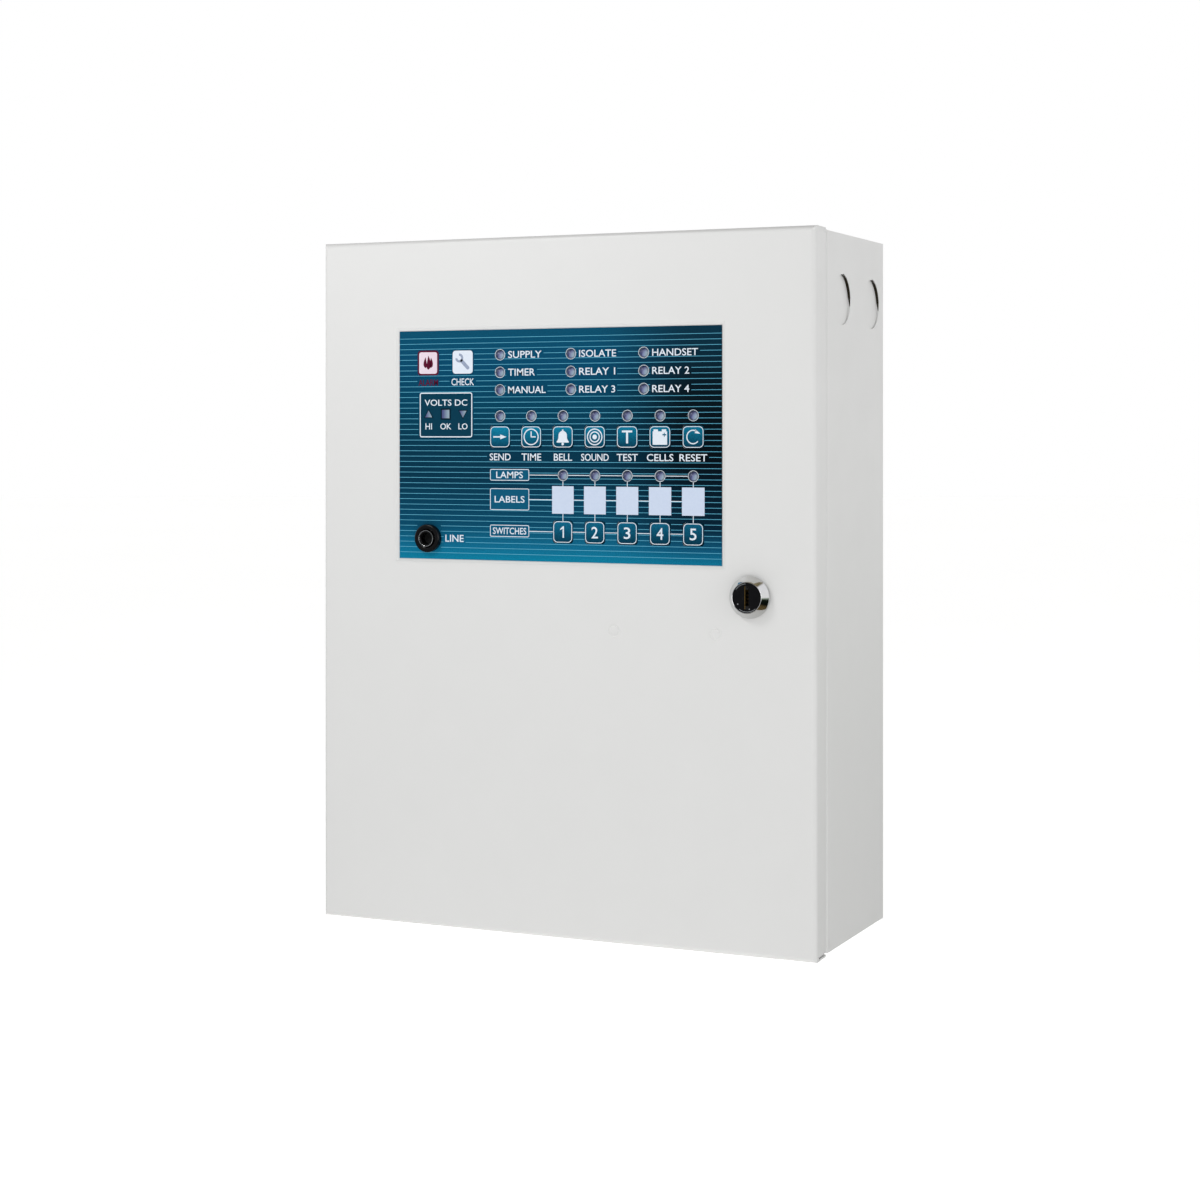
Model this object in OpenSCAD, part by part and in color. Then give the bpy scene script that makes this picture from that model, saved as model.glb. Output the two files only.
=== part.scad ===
// Wall-mounted conventional fire alarm control panel in a folded steel cabinet.
// +Z is up, the door faces -Y, and the wall is the plane y = 0.
// The origin is the centre of the four wall bolts. All sizes are in millimetres.

/* [Cabinet] */
// Width of the cabinet
box_w = 295; // [295:1:305]
// Height of the cabinet
box_h = 383; // [383:1:395]
// Depth of the cabinet from the wall to its front rim
box_d = 103; // [103:1:115]
// Thickness of the sheet steel
sheet = 1.2; // [1.0:0.1:1.4]
// Outside radius of the folded corners
bend_r = 3; // [2.5:0.5:3.5]
// Width of the rim folded in around the front opening
rim_w = 11.5; // [10:0.5:12]
// Distance between the wall bolts across the cabinet
bolt_dx = 240; // [220:10:250]
// Distance between the wall bolts up the cabinet
bolt_dz = 330; // [300:10:340]
// Radius of a wall bolt hole
bolt_r = 3.25; // [2.5:0.25:4]
// Radius of a conduit knockout
knockout_r = 14.25; // [11:0.25:15]
// Height of the knockouts above the origin
knockout_z = 156; // [150:1:165]

/* [Door] */
// Width of the door
door_w = 297; // [297:1:307]
// Height of the door
door_h = 385; // [385:1:397]
// Depth of the door pan
door_d = 18.5; // [18:0.5:20]
// Gap between the door's folded edge and the cabinet
seam = 1.5; // [1.5:0.1:2]
// Height of the two hinges above and below the middle
hinge_z = 140; // [120:5:150]
// Radius of a hinge pin
pin_r = 1.5; // [1.2:0.1:1.6]

/* [Lock] */
// How far the lock is to the right of the middle
lock_x = 112.4; // [110:0.1:114]
// Height of the lock
lock_z = -2.5; // [-5:0.5:0]
// Radius of the bezel at the door
bezel_r = 11; // [10:0.5:12]
// How far the lock stands out of the door
lock_out = 6.5; // [5:0.5:8]

/* [Control panel] */
// Width of the printed overlay
overlay_w = 195.5; // [195:0.5:198]
// Height of the printed overlay
overlay_h = 128.3; // [128:0.1:130]
// Depth of the pressed recess that holds the overlay
recess = 1.5; // [1.2:0.1:1.8]
// Distance between the columns of keys
column_dx = 19.2; // [19:0.1:19.4]
// Width of a function key
key_w = 12.2; // [11:0.1:12.4]
// Travel of a key
key_travel = 0.6; // [0.3:0.1:0.8]
// Radius of an indicator
led_r = 2.5; // [2:0.1:2.6]
// Radius of the telephone socket
jack_r = 3.2; // [3:0.05:3.3]

/* [Hidden] */
$fn = 64;
gap = 0.3;                                  // clearance round a key, a lamp or a window

// Planes along Y, from the wall towards the front
back_in = -sheet;                           // inside face of the back wall
box_front = -box_d;                         // front face of the rim
rim_in = box_front + sheet;                 // rear face of the rim
door_rear = box_front - seam;               // edge of the door's folded sides
door_front = door_rear - door_d;            // outside face of the door
door_in = door_front + sheet;               // inside face of the door
floor_out = door_front + recess;            // front face of the recess floor
floor_in = floor_out + sheet;               // rear face of the recess floor
film = 0.5;                                 // thickness of the overlay
film_front = floor_out - film;
board_t = 1.6;                              // thickness of a circuit board
board_front = floor_in + 8;
board_rear = board_front + board_t;
relay_front = door_in + 8;                  // front face of the relay board
relay_rear = relay_front + board_t;
charger_rear = back_in - 8;                 // charger board, components towards -Y
charger_front = charger_rear - board_t;

// Overlay layout, as [x, z]
overlay_at = [-1.85, 77.4];
slope = 2;                                  // width of the recess's sloping border
column_x = -35.8;                           // first column of function keys
key_row_z = 81.9;
key_led_z = 93.4;
key_h = 11.8;
zone_led_z = 60.9;
zone_label_z = 47.4;
zone_key_z = 29.9;
zone_key = [11.6, 11.9];
status_x = column_x - 0.1;
status_dx = 43.25;
status_z = 127.4;
status_dz = 9.75;
fire_at = [-81.0, 123.35];
fire_size = [13.4, 14.1];
fault_at = [-59.15, 123.6];
fault_size = [12.7, 13.0];
meter_x = [-80.7, -69.85, -59.0];
meter_z = 94.65;
meter_size = 5.2;
jack_at = [-80.5, 25];
lock_at = [lock_x, lock_z];

function column(i) = column_x + column_dx * i;
function_keys = [for (i = [0 : 6]) [column(i), key_row_z]];
zone_keys = [for (i = [2 : 6]) [column(i), zone_key_z]];
led_spots = concat(
    [for (i = [0 : 2], j = [0 : 2]) [status_x + status_dx * i, status_z - status_dz * j]],
    [for (i = [0 : 6]) [column(i), key_led_z]],
    [for (i = [2 : 6]) [column(i), zone_led_z]]);

// Hinge axis, near the front left corner
hinge_x = -box_w / 2 + 3;
hinge_y = box_front - 9.5;
ear_t = 2;                                  // thickness of a cabinet ear

// Boards and what they carry
board_at = [-2, 76.2];
board_size = [188, 121.5];
board_notch = [[-82, 27], [34, 26]];        // corner left open for the telephone socket
board_posts = [[-92, 133], [88.5, 133], [88.5, 18.8], [-60, 18.8], [-92, 50], [12, 134]];
relay_at = [63, -54.5];
relay_size = [74, 75];
relay_posts = [[33.6, -22.9], [92.5, -22.9], [33.6, -86], [92.5, -86]];
charger_at = [-40, 15];
charger_size = [150, 94];
charger_posts = [for (x = [-70, 70], z = [-42, 42]) charger_at + [x, z]];

// Batteries and the transformer
cell = [90, 70, 101];                       // one battery: width, depth, height
cell_floor = -box_h / 2 + sheet;
cell_x = [-86, 8];
cell_y = -8;                                // rear face of the batteries
cell_top = cell_floor + cell[2];
coil_at = [101, -52];
core_y = [-50, -27];
strap_z = -150;

// ---- Shared shapes. A place is [x, z] and a span runs from y0 (front) to y1 (rear). ----

// Block with its middle at a place
module slab(at, size, y0, y1)
    translate([at[0] - size[0] / 2, y0, at[1] - size[1] / 2]) cube([size[0], y1 - y0, size[1]]);

// Round bar along Y
module disc(at, r, y0, y1, sides = 64)
    translate([at[0], y1, at[1]]) rotate([90, 0, 0]) cylinder(r = r, h = y1 - y0, $fn = sides);

// Cone along Y, r0 at the front and r1 at the rear
module taper(at, r0, r1, y0, y1)
    translate([at[0], y1, at[1]]) rotate([90, 0, 0]) cylinder(r1 = r1, r2 = r0, h = y1 - y0);

// Rectangle with round corners
module round_rect(size, r) {
    square([size[0] - 2 * r, size[1]], center = true);
    square([size[0], size[1] - 2 * r], center = true);
    for (sx = [-1, 1], sy = [-1, 1])
        translate([sx * (size[0] / 2 - r), sy * (size[1] / 2 - r)]) circle(r);
}

// Block with its four long edges rounded
module round_slab(at, size, y0, y1, r)
    translate([at[0], y1, at[1]]) rotate([90, 0, 0]) linear_extrude(y1 - y0) round_rect(size, r);

// Outline of a folded pan in plan: round corners in front, and behind too where asked
module fold_outline(w, y0, y1, r, round_rear) {
    rear = round_rear ? r : 0;
    translate([-w / 2, y0 + r]) square([w, y1 - y0 - r - rear]);
    translate([-w / 2 + r, y0]) square([w - 2 * r, y1 - y0]);
    for (s = [-1, 1]) {
        translate([s * (w / 2 - r), y0 + r]) circle(r);
        if (round_rear) translate([s * (w / 2 - r), y1 - r]) circle(r);
    }
}

// Solid block whose front edges, and rear edges where asked, follow the folds
module folded_block(w, h, y0, y1, r, round_rear = false)
    intersection() {
        translate([0, 0, -h / 2]) linear_extrude(h) fold_outline(w, y0, y1, r, round_rear);
        translate([-w / 2, 0, 0]) rotate([0, 90, 0])
            linear_extrude(w) fold_outline(h, y0, y1, r, round_rear);
    }

// Block that narrows from one size at y0 to another at y1, with four flat slopes
module sloped_block(at, front_size, rear_size, y0, y1)
    translate([at[0], 0, at[1]]) intersection() {
        translate([0, 0, -front_size[1]]) linear_extrude(2 * front_size[1])
            slope_outline(front_size[0], rear_size[0], y0, y1);
        translate([-front_size[0], 0, 0]) rotate([0, 90, 0])
            linear_extrude(2 * front_size[0]) slope_outline(front_size[1], rear_size[1], y0, y1);
    }
module slope_outline(w0, w1, y0, y1)
    polygon([[-w0 / 2, y0], [w0 / 2, y0], [w1 / 2, y1], [-w1 / 2, y1]]);

// Round insulated lead swept along a smooth curve through hand-placed points
function curve_point(p, i, t) =
    let (a = p[max(i - 1, 0)], b = p[i], c = p[i + 1], d = p[min(i + 2, len(p) - 1)])
    0.5 * (2 * b + (c - a) * t + (2 * a - 5 * b + 4 * c - d) * t * t
        + (3 * b - a - 3 * c + d) * t * t * t);
function curve(p, steps = 3) = concat(
    [for (i = [0 : len(p) - 2], s = [0 : steps - 1]) curve_point(p, i, s / steps)],
    [p[len(p) - 1]]);
function unit(v) = v / norm(v);
module lead(points, r, side_on = [0.1, 0.2, 1], sides = 8) {
    path = curve(points);
    last = len(path) - 1;
    rings = [for (i = [0 : last])
        let (t = unit(path[min(i + 1, last)] - path[max(i - 1, 0)]),
            u = unit(cross(t, side_on)), v = cross(t, u))
        for (k = [0 : sides - 1])
            path[i] + r * (u * cos(360 * k / sides) + v * sin(360 * k / sides))];
    walls = [for (i = [0 : last - 1], k = [0 : sides - 1])
        let (a = i * sides + k, b = i * sides + (k + 1) % sides)
        [a, b, b + sides, a + sides]];
    polyhedron(points = rings, convexity = 6, faces = concat(walls,
        [[for (k = [sides - 1 : -1 : 0]) k], [for (k = [0 : sides - 1]) last * sides + k]]));
}

// ---- Cabinet ----

// Half-sheared conduit knockout in a side wall; side is -1 for left and 1 for right
knockout_y = [box_front + 27, box_front + 78.5];
push = 0.5;                                 // how far the disc is pressed inwards
module knockout_disc(side, y, r, from, to)
    translate([side * (box_w / 2 - from), y, knockout_z]) rotate([0, -side * 90, 0])
        cylinder(r = r, h = to - from);
module knockout_slit(side, y) {
    difference() {
        knockout_disc(side, y, knockout_r, -1, 4);
        knockout_disc(side, y, knockout_r - 0.6, -2, 5);
        // The sheared edge still holds except for the upper rear quarter
        translate([side * box_w / 2 - 10, y - 30, knockout_z - 30]) cube([20, 31, 60]);
        translate([side * box_w / 2 - 10, y - 30, knockout_z - 30]) cube([20, 60, 31]);
    }
}

module cabinet_shell() color("whitesmoke") difference() {
    union() {
        difference() {
            folded_block(box_w, box_h, box_front, 0, bend_r, true);
            folded_block(box_w - 2 * sheet, box_h - 2 * sheet, rim_in, back_in, bend_r - sheet, true);
            slab([0, 0], [box_w - 2 * rim_w, box_h - 2 * rim_w], box_front - 1, rim_in + 1);
        }
        for (s = [-1, 1], y = knockout_y)
            knockout_disc(s, y, knockout_r - 0.6, sheet - 0.1, sheet + push);
    }
    for (s = [-1, 1], y = knockout_y) {
        knockout_disc(s, y, knockout_r - 0.6, -1, push);
        knockout_slit(s, y);
    }
    for (sx = [-1, 1], sz = [-1, 1])
        disc([sx * bolt_dx / 2, sz * bolt_dz / 2], bolt_r, back_in - 1, 1);
    for (s = [-1, 1])
        slab([hinge_x + 2.45, s * hinge_z], [5.7, ear_t + 0.8], box_front - 1, rim_in + 1);
}

// Ears that carry the door: a leaf behind the rim, and a tab that reaches out to the pin
module hinge_ears() color("gainsboro") for (s = [-1, 1]) translate([0, 0, s * hinge_z])
    difference() {
        union() {
            slab([hinge_x + 4.6, 0], [8.8, 22], rim_in, rim_in + 1.2);
            translate([0, 0, -ear_t / 2]) linear_extrude(ear_t) {
                translate([hinge_x, hinge_y - 2.3]) square([5, rim_in + 1.2 - hinge_y + 2.3]);
                translate([hinge_x, hinge_y]) circle(2.3);
            }
        }
        translate([hinge_x, hinge_y, -5]) cylinder(r = pin_r + 0.08, h = 10);
    }

module earth_stud() color("goldenrod") {
    spot = [128, 62];
    disc(spot, 2.5, back_in - 16, back_in);
    difference() {
        disc(spot, 6, back_in - 1.2, back_in);
        disc(spot, 2.6, back_in - 2, 1);
    }
    difference() {
        disc(spot, 5.2, back_in - 5.6, back_in - 1.4, 6);
        disc(spot, 2.6, back_in - 7, 1);
    }
}

// ---- Mains transformer ----

module transformer_core() color("dimgray") difference() {
    slab(coil_at, [66, 55], core_y[0], core_y[1]);
    for (s = [-1, 1]) slab(coil_at + [s * 16.5, 0], [11, 33], core_y[0] - 1, core_y[1] + 1);
}
module transformer_coil() color("khaki") difference() {
    slab(coil_at, [43.4, 32], core_y[0] - 12, core_y[1] + 12);
    slab(coil_at, [22.6, 40], core_y[0] - gap, core_y[1] + gap);
}
module transformer_frame() color("silver") difference() {
    union() {
        for (s = [-1, 1]) {
            slab(coil_at + [s * 33.9, 0], [1.4, 55], core_y[0] - 1.2, back_in);
            slab(coil_at + [s * 38, 0], [9.6, 30], back_in - 1.4, back_in);
            slab(coil_at + [0, s * 23], [69.2, 9], core_y[0] - 1.2, core_y[0]);
        }
    }
    for (s = [-1, 1]) disc(coil_at + [s * 39, 0], 2.1, back_in - 5, 1);
}

// ---- Mains terminals and fuses ----

mains_at = [106, 98];
module mains_terminals() color("ivory") difference() {
    union() {
        slab(mains_at, [42, 20], back_in - 9, back_in);
        for (i = [-1.5 : 1 : 1.5]) slab(mains_at + [13 * i, 0], [2, 20], back_in - 17, back_in - 8);
        for (i = [-1 : 1]) slab(mains_at + [13 * i, 0], [12, 9], back_in - 15, back_in - 8);
    }
    for (i = [-1 : 1]) disc(mains_at + [13 * i, 0], 2.6, back_in - 16, back_in - 11);
}

// Open fuse holders: a base, two clips and a 5 x 20 glass fuse
fuse_spots = [[[66, 98], back_in], [[-62, -18], charger_front], [[-24, -18], charger_front]];
module fuse_holders() color("lightgray") for (f = fuse_spots) {
    at = f[0];
    y = f[1];
    slab(at, [26, 9], y - 3, y);
    for (s = [-1, 1]) difference() {
        slab(at + [s * 9, 0], [4, 7], y - 8, y - 3);
        slab(at + [s * 9, 0], [5, 5.2], y - 9, y - 3.6);
    }
    translate([at[0] - 10, y - 6.4, at[1]]) rotate([0, 90, 0]) cylinder(r = 2.55, h = 20);
}

// ---- Charger board ----

module charger_board() color("darkgreen") difference() {
    round_slab(charger_at, charger_size, charger_front, charger_rear, 2);
    for (p = charger_posts) disc(p, 1.7, charger_front - 1, charger_rear + 1);
}
module charger_fixings() color("silver") for (p = charger_posts) {
    difference() {
        disc(p, 3.2, charger_rear, back_in, 6);
        disc(p, 1.5, charger_rear - 1, charger_rear + 5);
    }
    disc(p, 2.9, charger_front - 2, charger_front);
    disc(p, 1.4, charger_front - 0.1, charger_rear + 4);
}
sink_at = [-78, 40];
module charger_heatsink() color("dimgray") {
    slab(sink_at, [60, 4], charger_front - 26, charger_front);
    for (i = [0 : 6]) slab(sink_at + [-28.5 + 9.5 * i, 8], [1.6, 14], charger_front - 26, charger_front);
}
module charger_regulators() color("black") for (i = [-1 : 1]) {
    at = sink_at + [18 * i, -4.4];
    slab(at, [10.2, 4.4], charger_front - 20, charger_front - 5);
    slab(at + [0, 1.6], [10.2, 1.2], charger_front - 24, charger_front - 20);
    for (k = [-1 : 1]) slab(at + [2.54 * k, 0], [0.8, 0.5], charger_front - 5, charger_front);
}
capacitor_spots = [[[18, 44], 11, 34], [[18, 17], 9, 26], [[-10, 46], 8, 22], [[-10, 24], 5, 12],
    [[-26, 46], 5, 12]];
module charger_capacitors() color("midnightblue") for (c = capacitor_spots) {
    disc(c[0], c[1], charger_front - c[2], charger_front);
}
charger_plugs = [[[-104, 8], [7, 26]], [[-104, -16], [7, 14]], [[18, -22], [14, 8]], [[-2, -22], [14, 8]]];
module charger_connectors() color("white") for (c = charger_plugs) difference() {
    slab(c[0], c[1], charger_front - 9, charger_front);
    slab(c[0], c[1] - [2, 2], charger_front - 10, charger_front - 2);
}

// ---- Batteries ----

module battery(x) {
    difference() {
        translate([x - cell[0] / 2, cell_y - cell[1], cell_floor]) cube([cell[0], cell[1], cell[2] - 6]);
        // Carrying groove round the case below the lid
        for (y = [cell_y, cell_y - cell[1]])
            translate([x - cell[0] / 2 - 1, y - 0.6, cell_top - 26]) cube([cell[0] + 2, 1.2, 1.6]);
    }
    translate([x - cell[0] / 2 + 1, cell_y - cell[1] + 1, cell_top - 6.1])
        cube([cell[0] - 2, cell[1] - 2, 2.6]);
    translate([x - 30, cell_y - cell[1] / 2 - 12, cell_top - 3.6]) cube([60, 24, 1.2]);
}
module battery_left() color("darkslategray") battery(cell_x[0]);
module battery_right() color("darkslategray") battery(cell_x[1]);
tab_dx = 33;
tab_y = cell_y - cell[1] + 14;
module battery_terminals() color("silver") for (x = cell_x, s = [-1, 1]) {
    translate([x + s * tab_dx - 3.2, tab_y - 4, cell_top - 3.5]) cube([6.4, 8, 1]);
    translate([x + s * tab_dx - 2.4, tab_y + 3.2, cell_top - 3.5]) cube([4.8, 0.8, 8]);
}
// Steel strap across the batteries, folded back to the rear wall
strap_x = [cell_x[0] - cell[0] / 2 - 3, cell_x[1] + cell[0] / 2 + 3];
module battery_bracket() color("whitesmoke") difference() {
    strap_mid = (strap_x[0] + strap_x[1]) / 2;
    strap_w = strap_x[1] - strap_x[0];
    union() {
        slab([strap_mid, strap_z], [strap_w, 24], cell_y - cell[1] - 1.8, cell_y - cell[1] - gap);
        for (i = [0, 1]) {
            s = i == 0 ? -1 : 1;
            slab([strap_x[i] - s * 0.75, strap_z], [1.5, 24], cell_y - cell[1] - 1.8, back_in);
        }
        slab([strap_x[1] + 7, strap_z], [15, 24], back_in - 1.5, back_in);
    }
    disc([strap_x[1] + 8, strap_z], 2.4, back_in - 4, 1);
}

// Leads that stay inside the cabinet, as points on their routes
plug_front = charger_front - 9.4;           // where a lead ends, just off a plug on the charger board
red_route = [[cell_x[0] - tab_dx, tab_y, -82], [-119, -62, -72], [-126, -52, -55],
    [-128, -38, -36], [-117, -29, -20], [-105, -26, -16], [-104, plug_front, -16]];
black_route = [[cell_x[1] + tab_dx, tab_y, -82], [44, -66, -72], [36, -58, -55], [20, -44, -42],
    [2, -32, -30], [-2, -26, -22], [-2, plug_front, -22]];
link_route = [[cell_x[0] + tab_dx, tab_y, -82], [-50, -68, -75], [-39, -69, -72], [-29, -68, -75],
    [cell_x[1] - tab_dx, tab_y, -82]];
module battery_leads() color("firebrick") {
    lead(red_route, 1.6);
    lead(black_route, 1.6, [0.1, 1, 0.2]);
    lead(link_route, 1.6, [0.1, 1, 0.2]);
}
live_route = [[93, -19, 98], [92, -30, 84], [94, -36, 60], [96, -42, 30], [98, -46, 5],
    [98, -54, -14], [95, -57, -28], [95, -57, -35.8]];
neutral_route = [[106, -19, 98], [106, -30, 84], [108, -36, 60], [109, -42, 30], [108, -46, 5],
    [106, -54, -14], [105, -57, -28], [105, -57, -35.8]];
supply_route = [[18, plug_front, -22], [18, -26, -22], [30, -34, -36], [44, -40, -58], [54, -48, -76],
    [66, -54, -84], [80, -57, -84], [90, -57, -78], [92, -57, -68.2]];
module supply_leads() color("saddlebrown") {
    lead(live_route, 1.4, [0.2, 1, 0.1]);
    lead(neutral_route, 1.4, [0.2, 1, 0.1]);
    lead(supply_route, 1.4, [0.2, 1, 0.1]);
}

// ---- Field wiring terminals ----

strip_at = [-33, 118];
strip_ways = 20;
way_dx = 9.5;
strip_w = strip_ways * way_dx;
module field_terminals() color("black") {
    slab(strip_at, [strip_w + 16, 22], back_in - 7, back_in);
    for (i = [0 : strip_ways]) slab(strip_at + [way_dx * (i - strip_ways / 2), 0], [1.6, 22],
        back_in - 14, back_in - 6);
    slab(strip_at, [strip_w, 1.6], back_in - 14, back_in - 6);
}
module terminal_screws() color("silver") for (i = [0 : strip_ways - 1], s = [-1, 1]) {
    at = strip_at + [way_dx * (i - strip_ways / 2 + 0.5), 5.6 * s];
    slab(at, [7.4, 8.4], back_in - 8, back_in - 7);
    difference() {
        disc(at, 2.9, back_in - 10.4, back_in - 8);
        slab(at, [7, 0.8], back_in - 11, back_in - 9.6);
    }
}

// ---- Door ----

// Openings that pass through the recess floor and the overlay alike
module panel_openings(y0, y1) {
    for (p = function_keys) round_slab(p, [key_w, key_h] + [2, 2] * gap, y0, y1, 1.8);
    for (p = zone_keys) round_slab(p, zone_key + [2, 2] * gap, y0, y1, 1.8);
    for (p = led_spots) disc(p, led_r + gap, y0, y1, 32);
    slab(fire_at, fire_size + [2, 2] * 0.1, y0, y1);
    slab(fault_at, fault_size + [2, 2] * 0.1, y0, y1);
    for (x = meter_x) slab([x, meter_z], [1, 1] * (meter_size + 0.2), y0, y1);
    disc(jack_at, 4.75, y0, y1);
}

module door_shell() color("whitesmoke") difference() {
    union() {
        difference() {
            folded_block(door_w, door_h, door_front, door_rear, bend_r);
            folded_block(door_w - 2 * sheet, door_h - 2 * sheet, door_in, 1, bend_r - sheet);
        }
        sloped_block(overlay_at, [overlay_w, overlay_h] + [2, 2] * (slope + 0.8),
            [overlay_w, overlay_h] + [2, 2] * 0.8, door_in, floor_in);
    }
    sloped_block(overlay_at, [overlay_w, overlay_h] + [2, 2] * slope, [overlay_w, overlay_h],
        door_front, floor_out);
    panel_openings(door_front - 1, floor_in + 1);
    disc(lock_at, 9.5, door_front - 1, door_in + 1);
    // Notches that let the ears through as the door swings
    for (s = [-1, 1]) slab([-door_w / 2, s * hinge_z], [10, 6.4], door_rear - 14, door_rear + 1);
    // Narrow reliefs where the side folds stop short of the top and bottom folds
    for (sx = [-1, 1], sz = [-1, 1])
        slab([sx * door_w / 2, sz * (door_h / 2 - sheet - 0.5)], [2 * bend_r, 1],
            door_front + bend_r + 2, door_rear + 1);
}

module overlay_panel() color("teal") difference() {
    slab(overlay_at, [overlay_w, overlay_h] - [0.4, 0.4], film_front, floor_out);
    panel_openings(film_front - 1, floor_out + 1);
}

// 5 mm indicator: flange, body, dome and two legs down to the board
module indicator(at) {
    dome_y = film_front + 0.8;
    disc(at, led_r, dome_y, board_front - 2.8);
    disc(at, led_r + 0.4, board_front - 3.8, board_front - 2.8);
    translate([at[0], dome_y, at[1]]) sphere(led_r);
    for (s = [-1, 1]) slab(at + [1.27 * s, 0], [0.5, 0.5], board_front - 2.9, board_front);
}
module indicator_leds() color("gray") for (p = led_spots) indicator(p);

// Lit symbol window: lens in the overlay, shoulder behind the steel, light guide to the board
module symbol_window(at, size) {
    slab(at, size, film_front - 0.1, board_front - 1);
    slab(at, size + [2, 2], floor_in, floor_in + 1);
}
module fire_window() color("mistyrose") symbol_window(fire_at, fire_size);
module fault_window() color("white") symbol_window(fault_at, fault_size);
module voltmeter_lamps() color("dimgray") for (x = meter_x)
    slab([x, meter_z], [meter_size, meter_size], film_front - 0.1, board_front);
module zone_name_labels() color("white") for (p = zone_keys)
    slab([p[0], zone_label_z], [13, 15.1], film_front - 0.15, film_front);

// Telephone socket: threaded barrel and moulded case round one long bore
jack_front = film_front - 4;
jack_rear = floor_in + 22;
module phone_jack() color("black") difference() {
    union() {
        disc(jack_at, 4.55, jack_front, floor_in);
        slab(jack_at, [20, 22], floor_in, jack_rear + 2);
    }
    disc(jack_at, jack_r, jack_front - 1, jack_rear);
}
module phone_jack_nut() color("black") difference() {
    union() {
        disc(jack_at, 7.85, film_front - 2.2, film_front);
        taper(jack_at, 6.6, 7.85, film_front - 3.2, film_front - 2.2);
    }
    disc(jack_at, 4.6, film_front - 5, film_front + 1);
}

// ---- Main board on the door ----

module main_board() color("darkgreen") difference() {
    slab(board_at, board_size, board_front, board_rear);
    slab(board_notch[0], board_notch[1] + [4, 4], board_front - 1, board_rear + 1);
    for (p = board_posts) disc(p, 1.7, board_front - 1, board_rear + 1);
}
module fixing(p, seat, front, rear) {
    difference() {
        disc(p, 2.75, seat, front, 6);
        disc(p, 1.5, seat + 1, front + 1);
    }
    disc(p, 1.45, front - 4, rear + 3.4);
    difference() {
        disc(p, 3.1, rear, rear + 2.4, 6);
        disc(p, 1.5, rear - 1, rear + 5);
    }
}
module board_fixings() color("silver") {
    for (p = board_posts) fixing(p, floor_in, board_front, board_rear);
    for (p = relay_posts) fixing(p, door_in, relay_front, relay_rear);
}
switch_front = board_front - 4.3;
module tact_switches() color("dimgray") for (p = concat(function_keys, zone_keys)) difference() {
    slab(p, [12, 12], switch_front, board_front);
    disc(p, 3.4, switch_front - 1, board_front - 1.6);
}
chip_spots = [[[-10, 98], [52, 14]], [[48, 104], [26, 7.6]], [[48, 84], [26, 7.6]],
    [[-10, 72], [26, 7.6]], [[52, 60], [20, 7.6]]];
module board_chips() color("black") for (c = chip_spots) {
    slab(c[0], c[1], board_rear + 0.8, board_rear + 4.4);
    for (i = [0 : floor(c[1][0] / 5.08) * 2 - 1], s = [-1, 1])
        slab(c[0] + [2.54 * (i + 0.5) - 2.54 * floor(c[1][0] / 5.08), s * (c[1][1] / 2 + 0.1)],
            [0.6, 0.5], board_rear, board_rear + 2.6);
}
relay_spots = [for (i = [0 : 3]) [[36.5 + 17.7 * i, -42], relay_rear]];
board_relay_spots = [for (i = [0 : 1]) [[-70 + 20 * i, 112], board_rear]];
module door_relays() color("royalblue") for (r = concat(relay_spots, board_relay_spots))
    round_slab(r[0], [15.4, 19.2], r[1], r[1] + 15, 0.8);
buzzer_at = [-70, 78];
module board_buzzer() color("black") difference() {
    disc(buzzer_at, 12, board_rear, board_rear + 9.5);
    disc(buzzer_at, 1.6, board_rear + 6, board_rear + 11);
}
plug_spots = [[[-91, 78], [7, 36], board_rear], [[30, 34], [26, 8], board_rear],
    [[-6, 34], [26, 8], board_rear], [[63, -84], [46, 10], relay_rear], [[63, -66], [46, 10], relay_rear]];
module board_connectors() color("white") for (c = plug_spots) difference() {
    slab(c[0], c[1], c[2], c[2] + 9);
    slab(c[0], c[1] - [2, 2], c[2] + 2, c[2] + 10);
}
module relay_board() color("darkgreen") difference() {
    slab(relay_at, relay_size, relay_front, relay_rear);
    for (p = relay_posts) disc(p, 1.7, relay_front - 1, relay_rear + 1);
}

// ---- Hinges ----

// Door halves: a leaf on the door, and a shelf over each ear
shelf_z = ear_t / 2 + gap;
module hinge_brackets() color("gainsboro") for (s = [-1, 1]) translate([0, 0, s * hinge_z])
    difference() {
        union() {
            slab([hinge_x + 8, 3], [16, 26], door_in, door_in + 1.5);
            translate([hinge_x, door_in, shelf_z]) cube([4.6, hinge_y + 2.4 - door_in, 1.5]);
            translate([hinge_x, hinge_y, shelf_z]) cylinder(r = 2.4, h = 1.5);
        }
        translate([hinge_x, hinge_y, 0]) cylinder(r = pin_r + 0.05, h = 10);
    }
module hinge_pins() color("silver") for (s = [-1, 1]) translate([hinge_x, hinge_y, s * hinge_z]) {
    translate([0, 0, -5]) cylinder(r = pin_r, h = 5 + shelf_z + 1.6);
    translate([0, 0, shelf_z + 1.5]) cylinder(r = 2.3, h = 1);
}

// ---- Cam lock ----

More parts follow.
